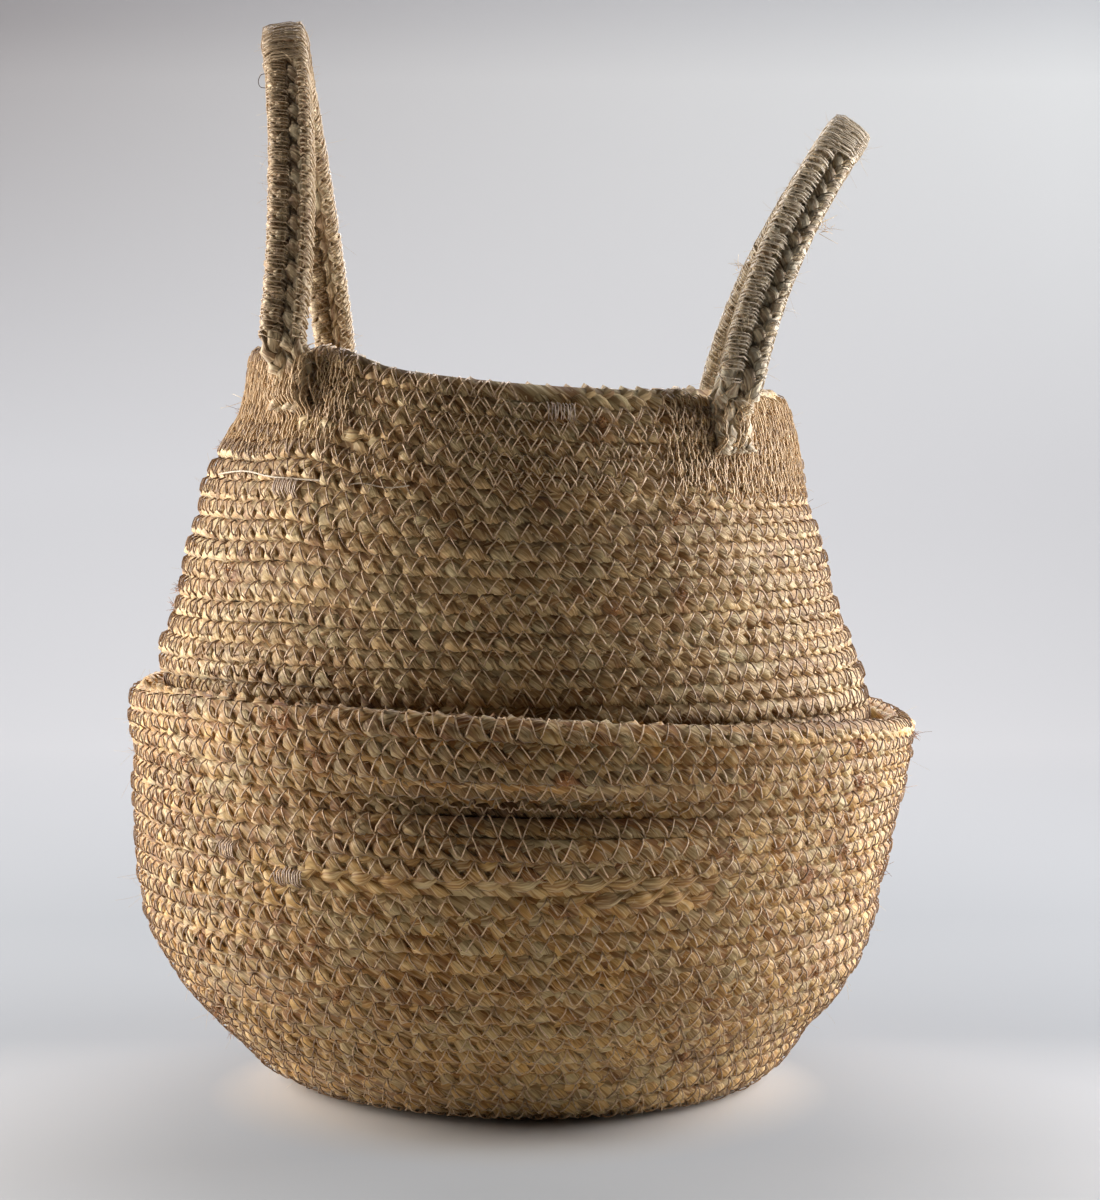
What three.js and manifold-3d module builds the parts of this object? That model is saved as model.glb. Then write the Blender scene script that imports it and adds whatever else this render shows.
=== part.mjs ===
// Jute belly basket. A long flat braid is wound and sewn into a base, a bowl and a neck.
// The wall is folded at the belly: it turns in at a crest, runs down inside and comes up again as the neck.
// Millimetres, +Z up, origin under the middle of the base. The front is -Y, the handles are on -X and +X.

import * as THREE from 'three';
import { mergeVertices } from 'three/addons/utils/BufferGeometryUtils.js';
import Module from 'manifold-3d';

const wasm = await Module();
wasm.setup();

// Braided wall
const wallThickness = 5.2;
const layerGap = 0.7;   // between the folded layers, which lie face to face
const turnGap = 0.8;    // between two layers where they meet end to end on a turn
const seamGap = 0.3;    // between pieces that are sewn to each other
const rimRounding = 5;  // corners in the rounded top edge of the neck

// Base and bowl, to the middle of the wall
const baseRadius = 77;
const crestRadius = 151.9;
const crestHeight = 147.6;
// Share of the way out from base to crest, and share of the way up
const bowlOutline = [
  [0, 0],
  [0.06, 0],
  [0.194, 0.017],
  [0.389, 0.059],
  [0.517, 0.134],
  [0.686, 0.244],
  [0.847, 0.403],
  [0.919, 0.583],
  [0.96, 0.741],
  [0.98, 0.851],
  [1, 1],
];

// Fold and neck, to the middle of the wall
const valleyHeight = 105;
const valleyTurnRadius = 3.4;
const rimRadius = 102.5;
const rimHeight = 273.5;
// Share of the way out from rim to valley, and share of the way up from valley to rim
const neckOutline = [
  [1, 0],
  [1.018, 0.111],
  [1.02, 0.235],
  [0.971, 0.316],
  [0.812, 0.446],
  [0.581, 0.656],
  [0.413, 0.749],
  [0.17, 0.904],
  [0, 1],
];

// How this basket slumps to one side
const crestOffset = 7.2;   // the crest is higher on the left and lower on the right
const crestShift = 1.9;    // the crest is moved to the right
const bellyShift = -4;     // the belly is moved to the left
const bellyHeight = 75;
const bellySpan = 40;
const neckShift = -4.5;    // the neck's middle is moved to the left
const neckShiftLow = [150, 185];
const neckShiftHigh = [225, 270];
const neckLevelFrom = 115; // the neck's bottom follows the fold's tilt below this height
const neckLevelTo = 170;
const rimOffset = 10;      // the rim is higher on the left
const rimSaddle = 4.5;     // the rim is higher at both handles
const rimLiftFrom = 150;

// Crease pressed into the front of the bowl, with more room for the layers behind it
const creaseDepth = 4;
const creaseHeight = 121;
const creaseSpan = 8;
const creaseAzimuth = -87;
const creaseHalfWidth = 26;
const innerCreaseDepth = 5;
const innerCreaseSpan = 11;

// Handles
const braidWidth = 8.45;
const braidDepth = 5.5;
const braidChamfer = 1.5;
const rimClearance = 2.5;  // from the rim up to the line that a handle bends about
// A handle rises as a parabola. Its top is moved out by a straight lean and by a bend that grows upwards.
// A skew moves its back half out and its front half in.
const leftRise = 125;
const leftLean = 0;
const leftBend = 10;
const leftSkew = 8.5;
const rightRise = 101;
const rightLean = 21.2;
const rightBend = 22.8;
const rightSkew = 0;
const footTurn = 6;        // how far round the neck a foot's lower end lies from its upper end
const leftFeet = { frontAzimuth: 221.7, backAzimuth: 132.6, turn: footTurn };
const rightFeet = { frontAzimuth: -46, backAzimuth: 43, turn: -footTurn };
const handles = [
  { side: 'left', rise: leftRise, lean: leftLean, bend: leftBend, skew: leftSkew, ...leftFeet },
  { side: 'right', rise: rightRise, lean: rightLean, bend: rightBend, skew: rightSkew, ...rightFeet },
];
const endCollar = 1;       // straight part of a strap's end, between its rounded end and its rise
const footLength = 24;
const footStandOff = 6.5;  // from the wall to the strap's middle at the foot's lower end

// Colours
const baseColor = 0xb9965f;
const bowlColor = 0xc49d62;
const foldColor = 0xae8c5a;
const neckColor = 0xb5986b;
const strapColor = 0xa08a68;
const footColor = 0xa98c63;

// How finely round shapes are stepped
const azimuthSteps = 36;
const fineSteps = 240;
const bowlSteps = 13;
const foldSteps = 6;
const neckSteps = 20;
const turnSteps = 3;
const archSteps = 20;
const directionStep = 0.01;

// Small maths

function radians(degrees) {
  return THREE.MathUtils.degToRad(degrees);
}

function smooth(value, [low, high]) {
  return THREE.MathUtils.smoothstep(value, low, high);
}

function bell(distance, span) {
  return Math.exp(-((distance / span) ** 2));
}

// Point of a line at a height, between its two nearest points
function pointAt(line, height) {
  const above = line.findIndex((point) => point.z >= height);
  if (above <= 0) return line.at(above);
  const low = line[above - 1];
  const high = line[above];
  const share = (height - low.z) / (high.z - low.z);
  return { ...high, r: THREE.MathUtils.lerp(low.r, high.r, share), z: height };
}

// Middle lines of the wall, before the slump. Each point has the direction in which its line runs on.

function splinePoints(corners, steps) {
  const curve = new THREE.SplineCurve(corners.map(([r, z]) => new THREE.Vector2(r, z)));
  return curve.getSpacedPoints(steps).map(({ x, y }, step) => {
    const along = curve.getTangentAt(step / steps);
    return { r: x, z: y, along: { r: along.x, z: along.y } };
  });
}

function arcPoints(centreR, centreZ, radius, fromDegrees, toDegrees) {
  const turn = Math.sign(toDegrees - fromDegrees);
  return Array.from({ length: turnSteps + 1 }, (_, step) => {
    const angle = radians(THREE.MathUtils.lerp(fromDegrees, toDegrees, step / turnSteps));
    const cosine = Math.cos(angle);
    const sine = Math.sin(angle);
    return {
      r: centreR + radius * cosine,
      z: centreZ + radius * sine,
      along: { r: -turn * sine, z: turn * cosine },
    };
  });
}

const baseEdge = baseRadius + layerGap;
const crestTurnRadius = (wallThickness + layerGap) / 2;
const bowlShape = splinePoints(
  bowlOutline.map(([out, up]) => [
    THREE.MathUtils.lerp(baseEdge, crestRadius, out),
    THREE.MathUtils.lerp(wallThickness / 2, crestHeight, up),
  ]),
  fineSteps,
);

// The bowl and the layer behind it are stepped at the same heights, so that they nest
const foldLevels = Array.from(
  { length: foldSteps + 1 },
  (_, step) => THREE.MathUtils.lerp(valleyHeight, crestHeight, step / foldSteps),
);
const belowFold = bowlShape.filter((point) => point.z < valleyHeight);
const bowlSide = [
  ...Array.from({ length: bowlSteps }, (_, step) => (
    belowFold[Math.round(step * belowFold.length / bowlSteps)]
  )),
  ...foldLevels.map((z) => pointAt(bowlShape, z)),
];

// Half of the gap at the ends of two layers that meet on a turn, in degrees of that turn
const crestEndAngle = THREE.MathUtils.radToDeg(turnGap / 2 / crestTurnRadius);
const valleyEndAngle = THREE.MathUtils.radToDeg(turnGap / 2 / valleyTurnRadius);
const crestCentre = crestRadius - crestTurnRadius;

const bowlMiddle = [
  ...bowlSide.slice(0, -1),
  ...arcPoints(crestCentre, crestHeight, crestTurnRadius, 0, 90 - crestEndAngle),
];

const foldSide = foldLevels.toReversed().map((level) => {
  const { r, z, along } = pointAt(bowlShape, level);
  return { r: r - 2 * crestTurnRadius, z, along: { r: -along.r, z: -along.z } };
});
const valleyCentre = foldSide.at(-1).r - valleyTurnRadius;
const foldMiddle = [
  ...arcPoints(crestCentre, crestHeight, crestTurnRadius, 90 + crestEndAngle, 180),
  ...foldSide.slice(1, -1),
  ...arcPoints(valleyCentre, valleyHeight, valleyTurnRadius, 0, -90 + valleyEndAngle),
];

const neckFootRadius = valleyCentre - valleyTurnRadius;
const neckSide = splinePoints(
  neckOutline.map(([out, up]) => [
    THREE.MathUtils.lerp(rimRadius, neckFootRadius, out),
    THREE.MathUtils.lerp(valleyHeight, rimHeight - wallThickness / 2, up),
  ]),
  neckSteps,
);
const neckMiddle = [
  ...arcPoints(valleyCentre, valleyHeight, valleyTurnRadius, -90 - valleyEndAngle, -180),
  ...neckSide.slice(1),
];

// The slump: how far a point of a middle line is moved at an azimuth

function creaseWindow(azimuth) {
  const apart = THREE.MathUtils.euclideanModulo(azimuth - creaseAzimuth + 180, 360) - 180;
  return bell(apart, creaseHalfWidth);
}

function slumpBowl({ r, z }, azimuth, depth = creaseDepth, span = creaseSpan) {
  const cosine = Math.cos(radians(azimuth));
  const share = (z / crestHeight) ** 2;
  const aside = crestShift * share + bellyShift * bell(z - bellyHeight, bellySpan);
  const crease = depth * bell(z - creaseHeight, span) * creaseWindow(azimuth);
  return { r: r + aside * cosine - crease, z: z - crestOffset * share * cosine };
}

function slumpFold(point, azimuth) {
  return slumpBowl(point, azimuth, innerCreaseDepth, innerCreaseSpan);
}

function rimLift(azimuth) {
  const angle = radians(azimuth);
  return rimSaddle * Math.cos(2 * angle) - rimOffset * Math.cos(angle);
}

function slumpNeck(point, azimuth) {
  const low = slumpFold(point, azimuth);
  const level = smooth(point.z, [neckLevelFrom, neckLevelTo]);
  const aside = smooth(point.z, neckShiftLow) * (1 - smooth(point.z, neckShiftHigh));
  const lift = rimLift(azimuth) * smooth(point.z, [rimLiftFrom, rimHeight]);
  return {
    r: THREE.MathUtils.lerp(low.r, point.r, level) + neckShift * aside * Math.cos(radians(azimuth)),
    z: THREE.MathUtils.lerp(low.z, point.z, level) + lift,
  };
}

// Closed outline of the wall at one azimuth: its right side forward, then its left side back

function wallSection(middle, slump, azimuth, thickness, roundEnd) {
  const sides = middle.map((from) => {
    const { along } = from;
    const nearby = { r: from.r + directionStep * along.r, z: from.z + directionStep * along.z };
    const point = slump(from, azimuth);
    const ahead = slump(nearby, azimuth);
    return { point, along: new THREE.Vector2(ahead.r - point.r, ahead.z - point.z).normalize() };
  });
  const offset = ({ point, along }, side, forward = 0) => ({
    r: point.r + side * along.y * thickness / 2 + forward * along.x * thickness / 2,
    z: point.z - side * along.x * thickness / 2 + forward * along.y * thickness / 2,
  });
  const rounding = roundEnd ? Array.from({ length: rimRounding }, (_, step) => {
    const angle = Math.PI * (step + 1) / (rimRounding + 1);
    return offset(sides.at(-1), Math.cos(angle), Math.sin(angle));
  }) : [];
  return [
    ...sides.map((side) => offset(side, 1)),
    ...rounding,
    ...sides.toReversed().map((side) => offset(side, -1)),
  ];
}

function closedGeometry(positions, triangles) {
  const geometry = new THREE.BufferGeometry();
  geometry.setAttribute('position', new THREE.Float32BufferAttribute(positions, 3));
  geometry.setIndex(triangles);
  return geometry;
}

function wallGeometry(middle, slump, { thickness = wallThickness, roundEnd = false } = {}) {
  const positions = [];
  const triangles = [];
  let count = 0;
  for (let step = 0; step < azimuthSteps; step += 1) {
    const azimuth = 360 * step / azimuthSteps;
    const section = wallSection(middle, slump, azimuth, thickness, roundEnd);
    count = section.length;
    for (const { r, z } of section) {
      positions.push(r * Math.cos(radians(azimuth)), r * Math.sin(radians(azimuth)), z);
    }
  }
  for (let step = 0; step < azimuthSteps; step += 1) {
    const here = step * count;
    const next = ((step + 1) % azimuthSteps) * count;
    for (let index = 0; index < count; index += 1) {
      const above = (index + 1) % count;
      triangles.push(here + index, next + index, next + above);
      triangles.push(here + index, next + above, here + above);
    }
  }
  return closedGeometry(positions, triangles);
}

function neckOuterRadius(azimuth, height) {
  const section = wallSection(neckMiddle, slumpNeck, azimuth, wallThickness, false);
  return pointAt(section.slice(turnSteps, neckMiddle.length), height).r;
}

function rimTop(azimuth) {
  return rimHeight + rimLift(azimuth);
}

// Joins and cuts

function toSolid(geometry) {
  const plain = geometry.clone();
  plain.deleteAttribute('normal');
  plain.deleteAttribute('uv');
  const merged = mergeVertices(plain);
  return new wasm.Manifold(new wasm.Mesh({
    numProp: 3,
    vertProperties: new Float32Array(merged.attributes.position.array),
    triVerts: new Uint32Array(merged.index.array),
  }));
}

function cut(geometry, tool) {
  const { numProp, vertProperties, triVerts } = toSolid(geometry).subtract(toSolid(tool)).getMesh();
  const result = new THREE.BufferGeometry();
  result.setAttribute('position', new THREE.BufferAttribute(vertProperties, numProp));
  result.setIndex(new THREE.BufferAttribute(triVerts, 1));
  return result;
}

// Straps

// Corners of a flat bar with chamfered edges, counter-clockwise
function barCorners(halfWidth, halfDepth, chamfer) {
  return [
    [halfWidth, -halfDepth + chamfer],
    [halfWidth, halfDepth - chamfer],
    [halfWidth - chamfer, halfDepth],
    [-halfWidth + chamfer, halfDepth],
    [-halfWidth, halfDepth - chamfer],
    [-halfWidth, -halfDepth + chamfer],
    [-halfWidth + chamfer, -halfDepth],
    [halfWidth - chamfer, -halfDepth],
  ];
}

// Closed tube through rings of points that all have as many corners
function sweptGeometry(rings) {
  const count = rings[0].length;
  const last = (rings.length - 1) * count;
  const triangles = [];
  for (let ring = 0; ring < rings.length - 1; ring += 1) {
    for (let index = 0; index < count; index += 1) {
      const here = ring * count + index;
      const beside = ring * count + (index + 1) % count;
      triangles.push(here, beside, beside + count);
      triangles.push(here, beside + count, here + count);
    }
  }
  for (let index = 1; index < count - 1; index += 1) {
    triangles.push(0, index + 1, index);
    triangles.push(last, last + index, last + index + 1);
  }
  return closedGeometry(rings.flat().flatMap((point) => point.toArray()), triangles);
}

const strapHalfWidth = braidWidth + seamGap / 2;
const strapHalfDepth = braidDepth + seamGap / 2;

// Where a handle stands: the level line through its two feet, and the way out from the basket
function handleFrame({ frontAzimuth, backAzimuth }) {
  const axisHeight = Math.max(rimTop(frontAzimuth), rimTop(backAzimuth)) + rimClearance;
  const direction = (azimuth) => {
    const angle = radians(azimuth);
    return new THREE.Vector3(Math.cos(angle), Math.sin(angle), 0);
  };
  const level = (chord) => {
    const out = new THREE.Vector3(chord.y, -chord.x, 0);
    return out.dot(direction(frontAzimuth)) < 0 ? out.negate() : out;
  };
  const roughChord = direction(backAzimuth).sub(direction(frontAzimuth)).normalize();
  const roughOut = level(roughChord);
  const seat = (azimuth) => {
    const radial = direction(azimuth);
    const across = strapHalfWidth * Math.abs(roughOut.dot(radial));
    const deep = strapHalfDepth * Math.abs(roughChord.dot(radial));
    const wall = neckOuterRadius(azimuth, rimTop(azimuth) - wallThickness);
    return radial.multiplyScalar(wall + across + deep + seamGap).setZ(axisHeight);
  };
  const front = seat(frontAzimuth);
  const back = seat(backAzimuth);
  const chord = back.clone().sub(front).normalize();
  return { front, back, chord, out: level(chord), direction };
}

// Middle line of a handle, from the front foot up, over and down to the back foot.
// width runs across the strap, away from the basket, and outward leaves the loop.
function handleLine({ lean, bend, skew, rise }, { front, back, chord, out }) {
  const middle = front.clone().add(back).divideScalar(2);
  const halfChord = front.distanceTo(back) / 2;
  return Array.from({ length: archSteps + 1 }, (_, step) => {
    const share = 2 * step / archSteps - 1;
    const climbed = 1 - share ** 2;
    const slope = (lean + 2 * bend * climbed) / rise;
    const point = middle.clone()
      .addScaledVector(chord, halfChord * share)
      .addScaledVector(out, lean * climbed + bend * climbed ** 2 + skew * share * climbed)
      .add(new THREE.Vector3(0, 0, rise * climbed));
    const up = new THREE.Vector3(0, 0, 1).addScaledVector(out, slope).normalize();
    const width = out.clone().addScaledVector(new THREE.Vector3(0, 0, 1), -slope).normalize();
    const climb = 2 * rise * share * Math.hypot(1, slope);
    const square = up.clone().multiplyScalar(halfChord).addScaledVector(chord, climb).normalize();
    const atEnd = step === 0 || step === archSteps;
    const outward = atEnd ? chord.clone().divideScalar(square.dot(chord)) : square;
    return { point, up, width, outward };
  });
}

// One of the four braids of a handle: ply is 1 over the hand and -1 under it, row is 1 away from the basket.
// Each end has a short straight collar, and under it a rounded end that turns on the foot.
function handleBraid(line, ply, row) {
  const corners = barCorners(braidWidth / 2, braidDepth / 2, braidChamfer);
  const handed = new THREE.Vector3().crossVectors(line[0].width, line[0].outward).dot(line[0].up);
  const ordered = handed > 0 ? corners : corners.toReversed();
  const ring = ({ point, up, width, outward }, rise) => ordered.map(([across, deep]) => {
    const aside = row * (braidWidth + seamGap) / 2 + across;
    const over = ply * (braidDepth + seamGap) / 2 + deep;
    const corner = point.clone().addScaledVector(width, aside).addScaledVector(outward, over);
    return corner.addScaledVector(up, rise(aside));
  });
  const rounded = (aside) => -Math.sqrt(Math.max(strapHalfWidth ** 2 - aside ** 2, 0));
  const collar = () => endCollar;
  const level = () => 0;
  return sweptGeometry([
    ring(line[0], rounded),
    ring(line[0], collar),
    ...line.slice(1, -1).map((place) => ring(place, level)),
    ring(line.at(-1), collar),
    ring(line.at(-1), rounded),
  ]);
}

// Strap end that is sewn to the outside of the neck, cut to the neck's own shape
const neckCutter = wallGeometry(neckMiddle, slumpNeck, { thickness: wallThickness + 2 * seamGap });

function footGeometry(top, azimuth, { chord, out, direction }) {
  const height = rimTop(azimuth) - footLength;
  const radius = neckOuterRadius(azimuth, height) + footStandOff;
  const bottom = direction(azimuth).multiplyScalar(radius).setZ(height);
  const start = top.clone().setZ(top.z - strapHalfWidth - seamGap);
  const corners = barCorners(strapHalfWidth, strapHalfDepth, braidChamfer);
  const handed = new THREE.Vector3().crossVectors(out, chord).z;
  const ordered = handed > 0 ? corners : corners.toReversed();
  const rings = [bottom, start].map((centre) => ordered.map(
    ([across, deep]) => centre.clone().addScaledVector(out, across).addScaledVector(chord, deep),
  ));
  return cut(sweptGeometry(rings), neckCutter);
}

// Assembly

const basket = new THREE.Group();

function addPiece(name, geometry, color, roughness = 0.9) {
  const material = new THREE.MeshStandardMaterial({ color, roughness, metalness: 0 });
  const mesh = new THREE.Mesh(geometry, material);
  mesh.name = name;
  basket.add(mesh);
}

const baseOutline = [
  new THREE.Vector2(0, 0),
  new THREE.Vector2(baseRadius, 0),
  new THREE.Vector2(baseRadius, wallThickness),
  new THREE.Vector2(0, wallThickness),
];
const baseGeometry = new THREE.LatheGeometry(baseOutline, azimuthSteps);
baseGeometry.rotateX(Math.PI / 2);
addPiece('base_coil', baseGeometry, baseColor);
addPiece('bowl_wall', wallGeometry(bowlMiddle, slumpBowl), bowlColor);
addPiece('fold_wall', wallGeometry(foldMiddle, slumpFold), foldColor);
addPiece('neck_wall', wallGeometry(neckMiddle, slumpNeck, { roundEnd: true }), neckColor);

const plies = { upper: 1, lower: -1 };
const rows = { inboard: -1, outboard: 1 };
for (const handle of handles) {
  const place = handleFrame(handle);
  const line = handleLine(handle, place);
  for (const [plyName, ply] of Object.entries(plies)) {
    for (const [rowName, row] of Object.entries(rows)) {
      const name = `${handle.side}_handle_${plyName}_${rowName}`;
      addPiece(name, handleBraid(line, ply, row), strapColor);
    }
  }
  const frontEnd = handle.frontAzimuth + handle.turn;
  const backEnd = handle.backAzimuth - handle.turn;
  addPiece(`${handle.side}_front_foot`, footGeometry(place.front, frontEnd, place), footColor);
  addPiece(`${handle.side}_back_foot`, footGeometry(place.back, backEnd, place), footColor);
}

export default basket;
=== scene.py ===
import math

import bpy
import numpy as np
from mathutils import Euler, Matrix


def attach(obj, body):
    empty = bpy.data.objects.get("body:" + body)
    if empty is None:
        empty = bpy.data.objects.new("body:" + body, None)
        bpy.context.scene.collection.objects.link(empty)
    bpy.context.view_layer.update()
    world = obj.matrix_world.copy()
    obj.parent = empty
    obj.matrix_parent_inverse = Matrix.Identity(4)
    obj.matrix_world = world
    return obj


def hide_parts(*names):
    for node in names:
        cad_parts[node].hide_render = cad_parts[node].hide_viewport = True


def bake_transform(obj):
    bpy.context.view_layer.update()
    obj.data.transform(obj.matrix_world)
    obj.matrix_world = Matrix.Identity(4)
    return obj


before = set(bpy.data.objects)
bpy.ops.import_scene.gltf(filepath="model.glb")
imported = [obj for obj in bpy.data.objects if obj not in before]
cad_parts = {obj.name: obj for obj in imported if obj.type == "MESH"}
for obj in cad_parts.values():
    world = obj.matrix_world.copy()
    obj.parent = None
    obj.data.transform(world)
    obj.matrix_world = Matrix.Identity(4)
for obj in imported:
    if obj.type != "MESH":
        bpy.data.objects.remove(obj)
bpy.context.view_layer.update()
luck = np.random.default_rng(7)


# Camera, level light, floor and backdrop

cameraSettings = {
    "place": (0, -1.0, 0.229),
    "focalPixels": 2500,  # this and the rest are in pixels of the 1100 x 1200 image
    "imageWide": 1100,
    "imageHigh": 1200,
    "axisPixel": 519,  # column that shows the basket's upright axis
    "horizonPixel": 495,  # row that shows the camera's own height
}


def makeCamera():
    # Turn and tilt bring the axis and the horizon to their pixels, so that the lens needs no shift.
    focal = cameraSettings["focalPixels"]
    tilt = math.atan((cameraSettings["imageHigh"] / 2 - cameraSettings["horizonPixel"]) / focal)
    turn = math.atan((cameraSettings["imageWide"] / 2 - cameraSettings["axisPixel"]) / focal)
    data = bpy.data.cameras.new("camera")
    data.sensor_width = 36
    data.lens = data.sensor_width * focal / cameraSettings["imageHigh"]
    camera = bpy.data.objects.new("camera", data)
    camera.location = cameraSettings["place"]
    camera.rotation_euler = Euler((math.pi / 2 - tilt, 0, -turn))
    bpy.context.scene.collection.objects.link(camera)
    bpy.context.scene.camera = camera


def screenColour(red, green, blue):
    # Screen colours from 0 to 255, made linear by the sRGB curve
    share = np.array([red, green, blue]) / 255
    linear = np.where(share <= 0.04045, share / 12.92, ((share + 0.055) / 1.055) ** 2.4)
    return (*linear.tolist(), 1.0)


def feed(tree, socket, value):
    # The socket takes another node's output or a plain value
    if isinstance(value, bpy.types.NodeSocket):
        tree.links.new(value, socket)
    else:
        socket.default_value = value


def addNode(tree, kind, settings=None, **values):
    # A node with its settings and its inputs, each by its name, or by its number after an i
    node = tree.nodes.new(kind)
    for name, value in (settings or {}).items():
        setattr(node, name, value)
    for name, value in values.items():
        numbered = name[0] == "i" and name[1:].isdigit()
        feed(tree, node.inputs[int(name[1:]) if numbered else name], value)
    return node


lightSettings = {
    "lamps": {
        # place, aimed at, width, height, watts, screen colour
        "leftWindow": ((-0.93, 0.13, 0.24), (-0.05, 0, 0.12), 0.65, 1.0, 28.0, (254, 249, 245)),
        "rightWindow": ((0.92, 0.2, 0.34), (0.05, 0, 0.17), 0.65, 1.0, 30.0, (249, 248, 250)),
        "backSheet": ((0, 0.95, 0.95), (0, 0, 0.15), 1.0, 0.6, 15.0, (250, 250, 255)),
    },
    "worldColour": (220, 222, 228),
    "worldStrength": 0.014,
    "worldSeen": (214, 215, 219),  # what the camera sees past the paper's edges
}


def makeLamps():
    # A lamp shines along its own -Z, which is turned down from upright and then round to the aim
    for name, (place, aim, width, height, power, tint) in lightSettings["lamps"].items():
        data = bpy.data.lights.new(name, "AREA")
        data.shape = "RECTANGLE"
        data.size = width
        data.size_y = height
        data.energy = power
        data.color = screenColour(*tint)[:3]
        lamp = bpy.data.objects.new(name, data)
        lamp.location = place
        aside, away, up = np.array(aim) - np.array(place)
        lamp.rotation_euler = (math.atan2(math.hypot(aside, away), -up), 0, math.atan2(-aside, away))
        bpy.context.scene.collection.objects.link(lamp)


def makeWorld():
    # A faint even light, and a pale grey that only the camera sees
    world = bpy.data.worlds.new("studio")
    world.use_nodes = True
    tree = world.node_tree
    shade = tree.nodes["Background"]
    shade.inputs["Color"].default_value = screenColour(*lightSettings["worldColour"])
    shade.inputs["Strength"].default_value = lightSettings["worldStrength"]
    seen = addNode(tree, "ShaderNodeBackground", Color=screenColour(*lightSettings["worldSeen"]))
    toCamera = addNode(tree, "ShaderNodeLightPath").outputs["Is Camera Ray"]
    mixed = addNode(tree, "ShaderNodeMixShader", i0=toCamera, i1=shade.outputs[0], i2=seen.outputs[0])
    tree.links.new(mixed.outputs[0], tree.nodes["World Output"].inputs["Surface"])
    bpy.context.scene.world = world
    bpy.context.scene.view_settings.view_transform = "Standard"


makeCamera()
makeLamps()
makeWorld()
print("camera and lights made")


# Small maths


def bell(distance, span):
    # 1 in the middle, falling away as e to the minus (distance / span) squared
    return np.exp(-((distance / span) ** 2))


def smoothStep(value, low, high):
    # 0 up to low and 1 from high, with share^2 x (3 - 2 share) of the way between
    share = np.clip((value - low) / (high - low), 0, 1)
    return share * share * (3 - 2 * share)


def unit(vectors):
    # Vectors over their own length
    return vectors / np.linalg.norm(vectors, axis=-1, keepdims=True)


def squareTo(vectors, way):
    # The vectors without their part along the unit way, made one long
    return unit(vectors - way * (vectors * way).sum(-1, keepdims=True))


def lengthAlong(points):
    # Length of the line from its first point to each point
    return np.concatenate([[0], np.cumsum(np.linalg.norm(np.diff(points, axis=0), axis=1))])


def alongLine(place, length, values):
    # Values that are known at these lengths, read in between at other places
    return np.stack([np.interp(place, length, column) for column in values.T], 1)


def wander(length, step, size):
    # Soft random line: random heights a step apart, joined by half cosine waves, sampled at the lengths
    knots = luck.normal(0, size, int(length.max() / step) + 3)
    place = length / step
    first = place.astype(int)
    share = (1 - np.cos(np.pi * (place - first))) / 2
    return knots[first] * (1 - share) + knots[first + 1] * share


def wanderBy(length, stepAndSize):
    step, size = stepAndSize
    return size * wander(length, step, 1.0)


def splineLine(corners, count):
    # Smooth line through the corners: a cubic between each two, whose slope at a corner joins its neighbours
    corners = np.array(corners, float)
    padded = np.vstack([corners[:1], corners, corners[-1:]])
    at = np.linspace(0, len(corners) - 1, count)
    first = np.minimum(at.astype(int), len(corners) - 2)
    share = (at - first)[:, None]
    before, here, ahead, after = (padded[first + shift] for shift in range(4))
    leave = (ahead - before) / 2
    arrive = (after - here) / 2
    cubic = 2 * (here - ahead) + leave + arrive
    square = 3 * (ahead - here) - 2 * leave - arrive
    return cubic * share**3 + square * share**2 + leave * share + here


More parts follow.
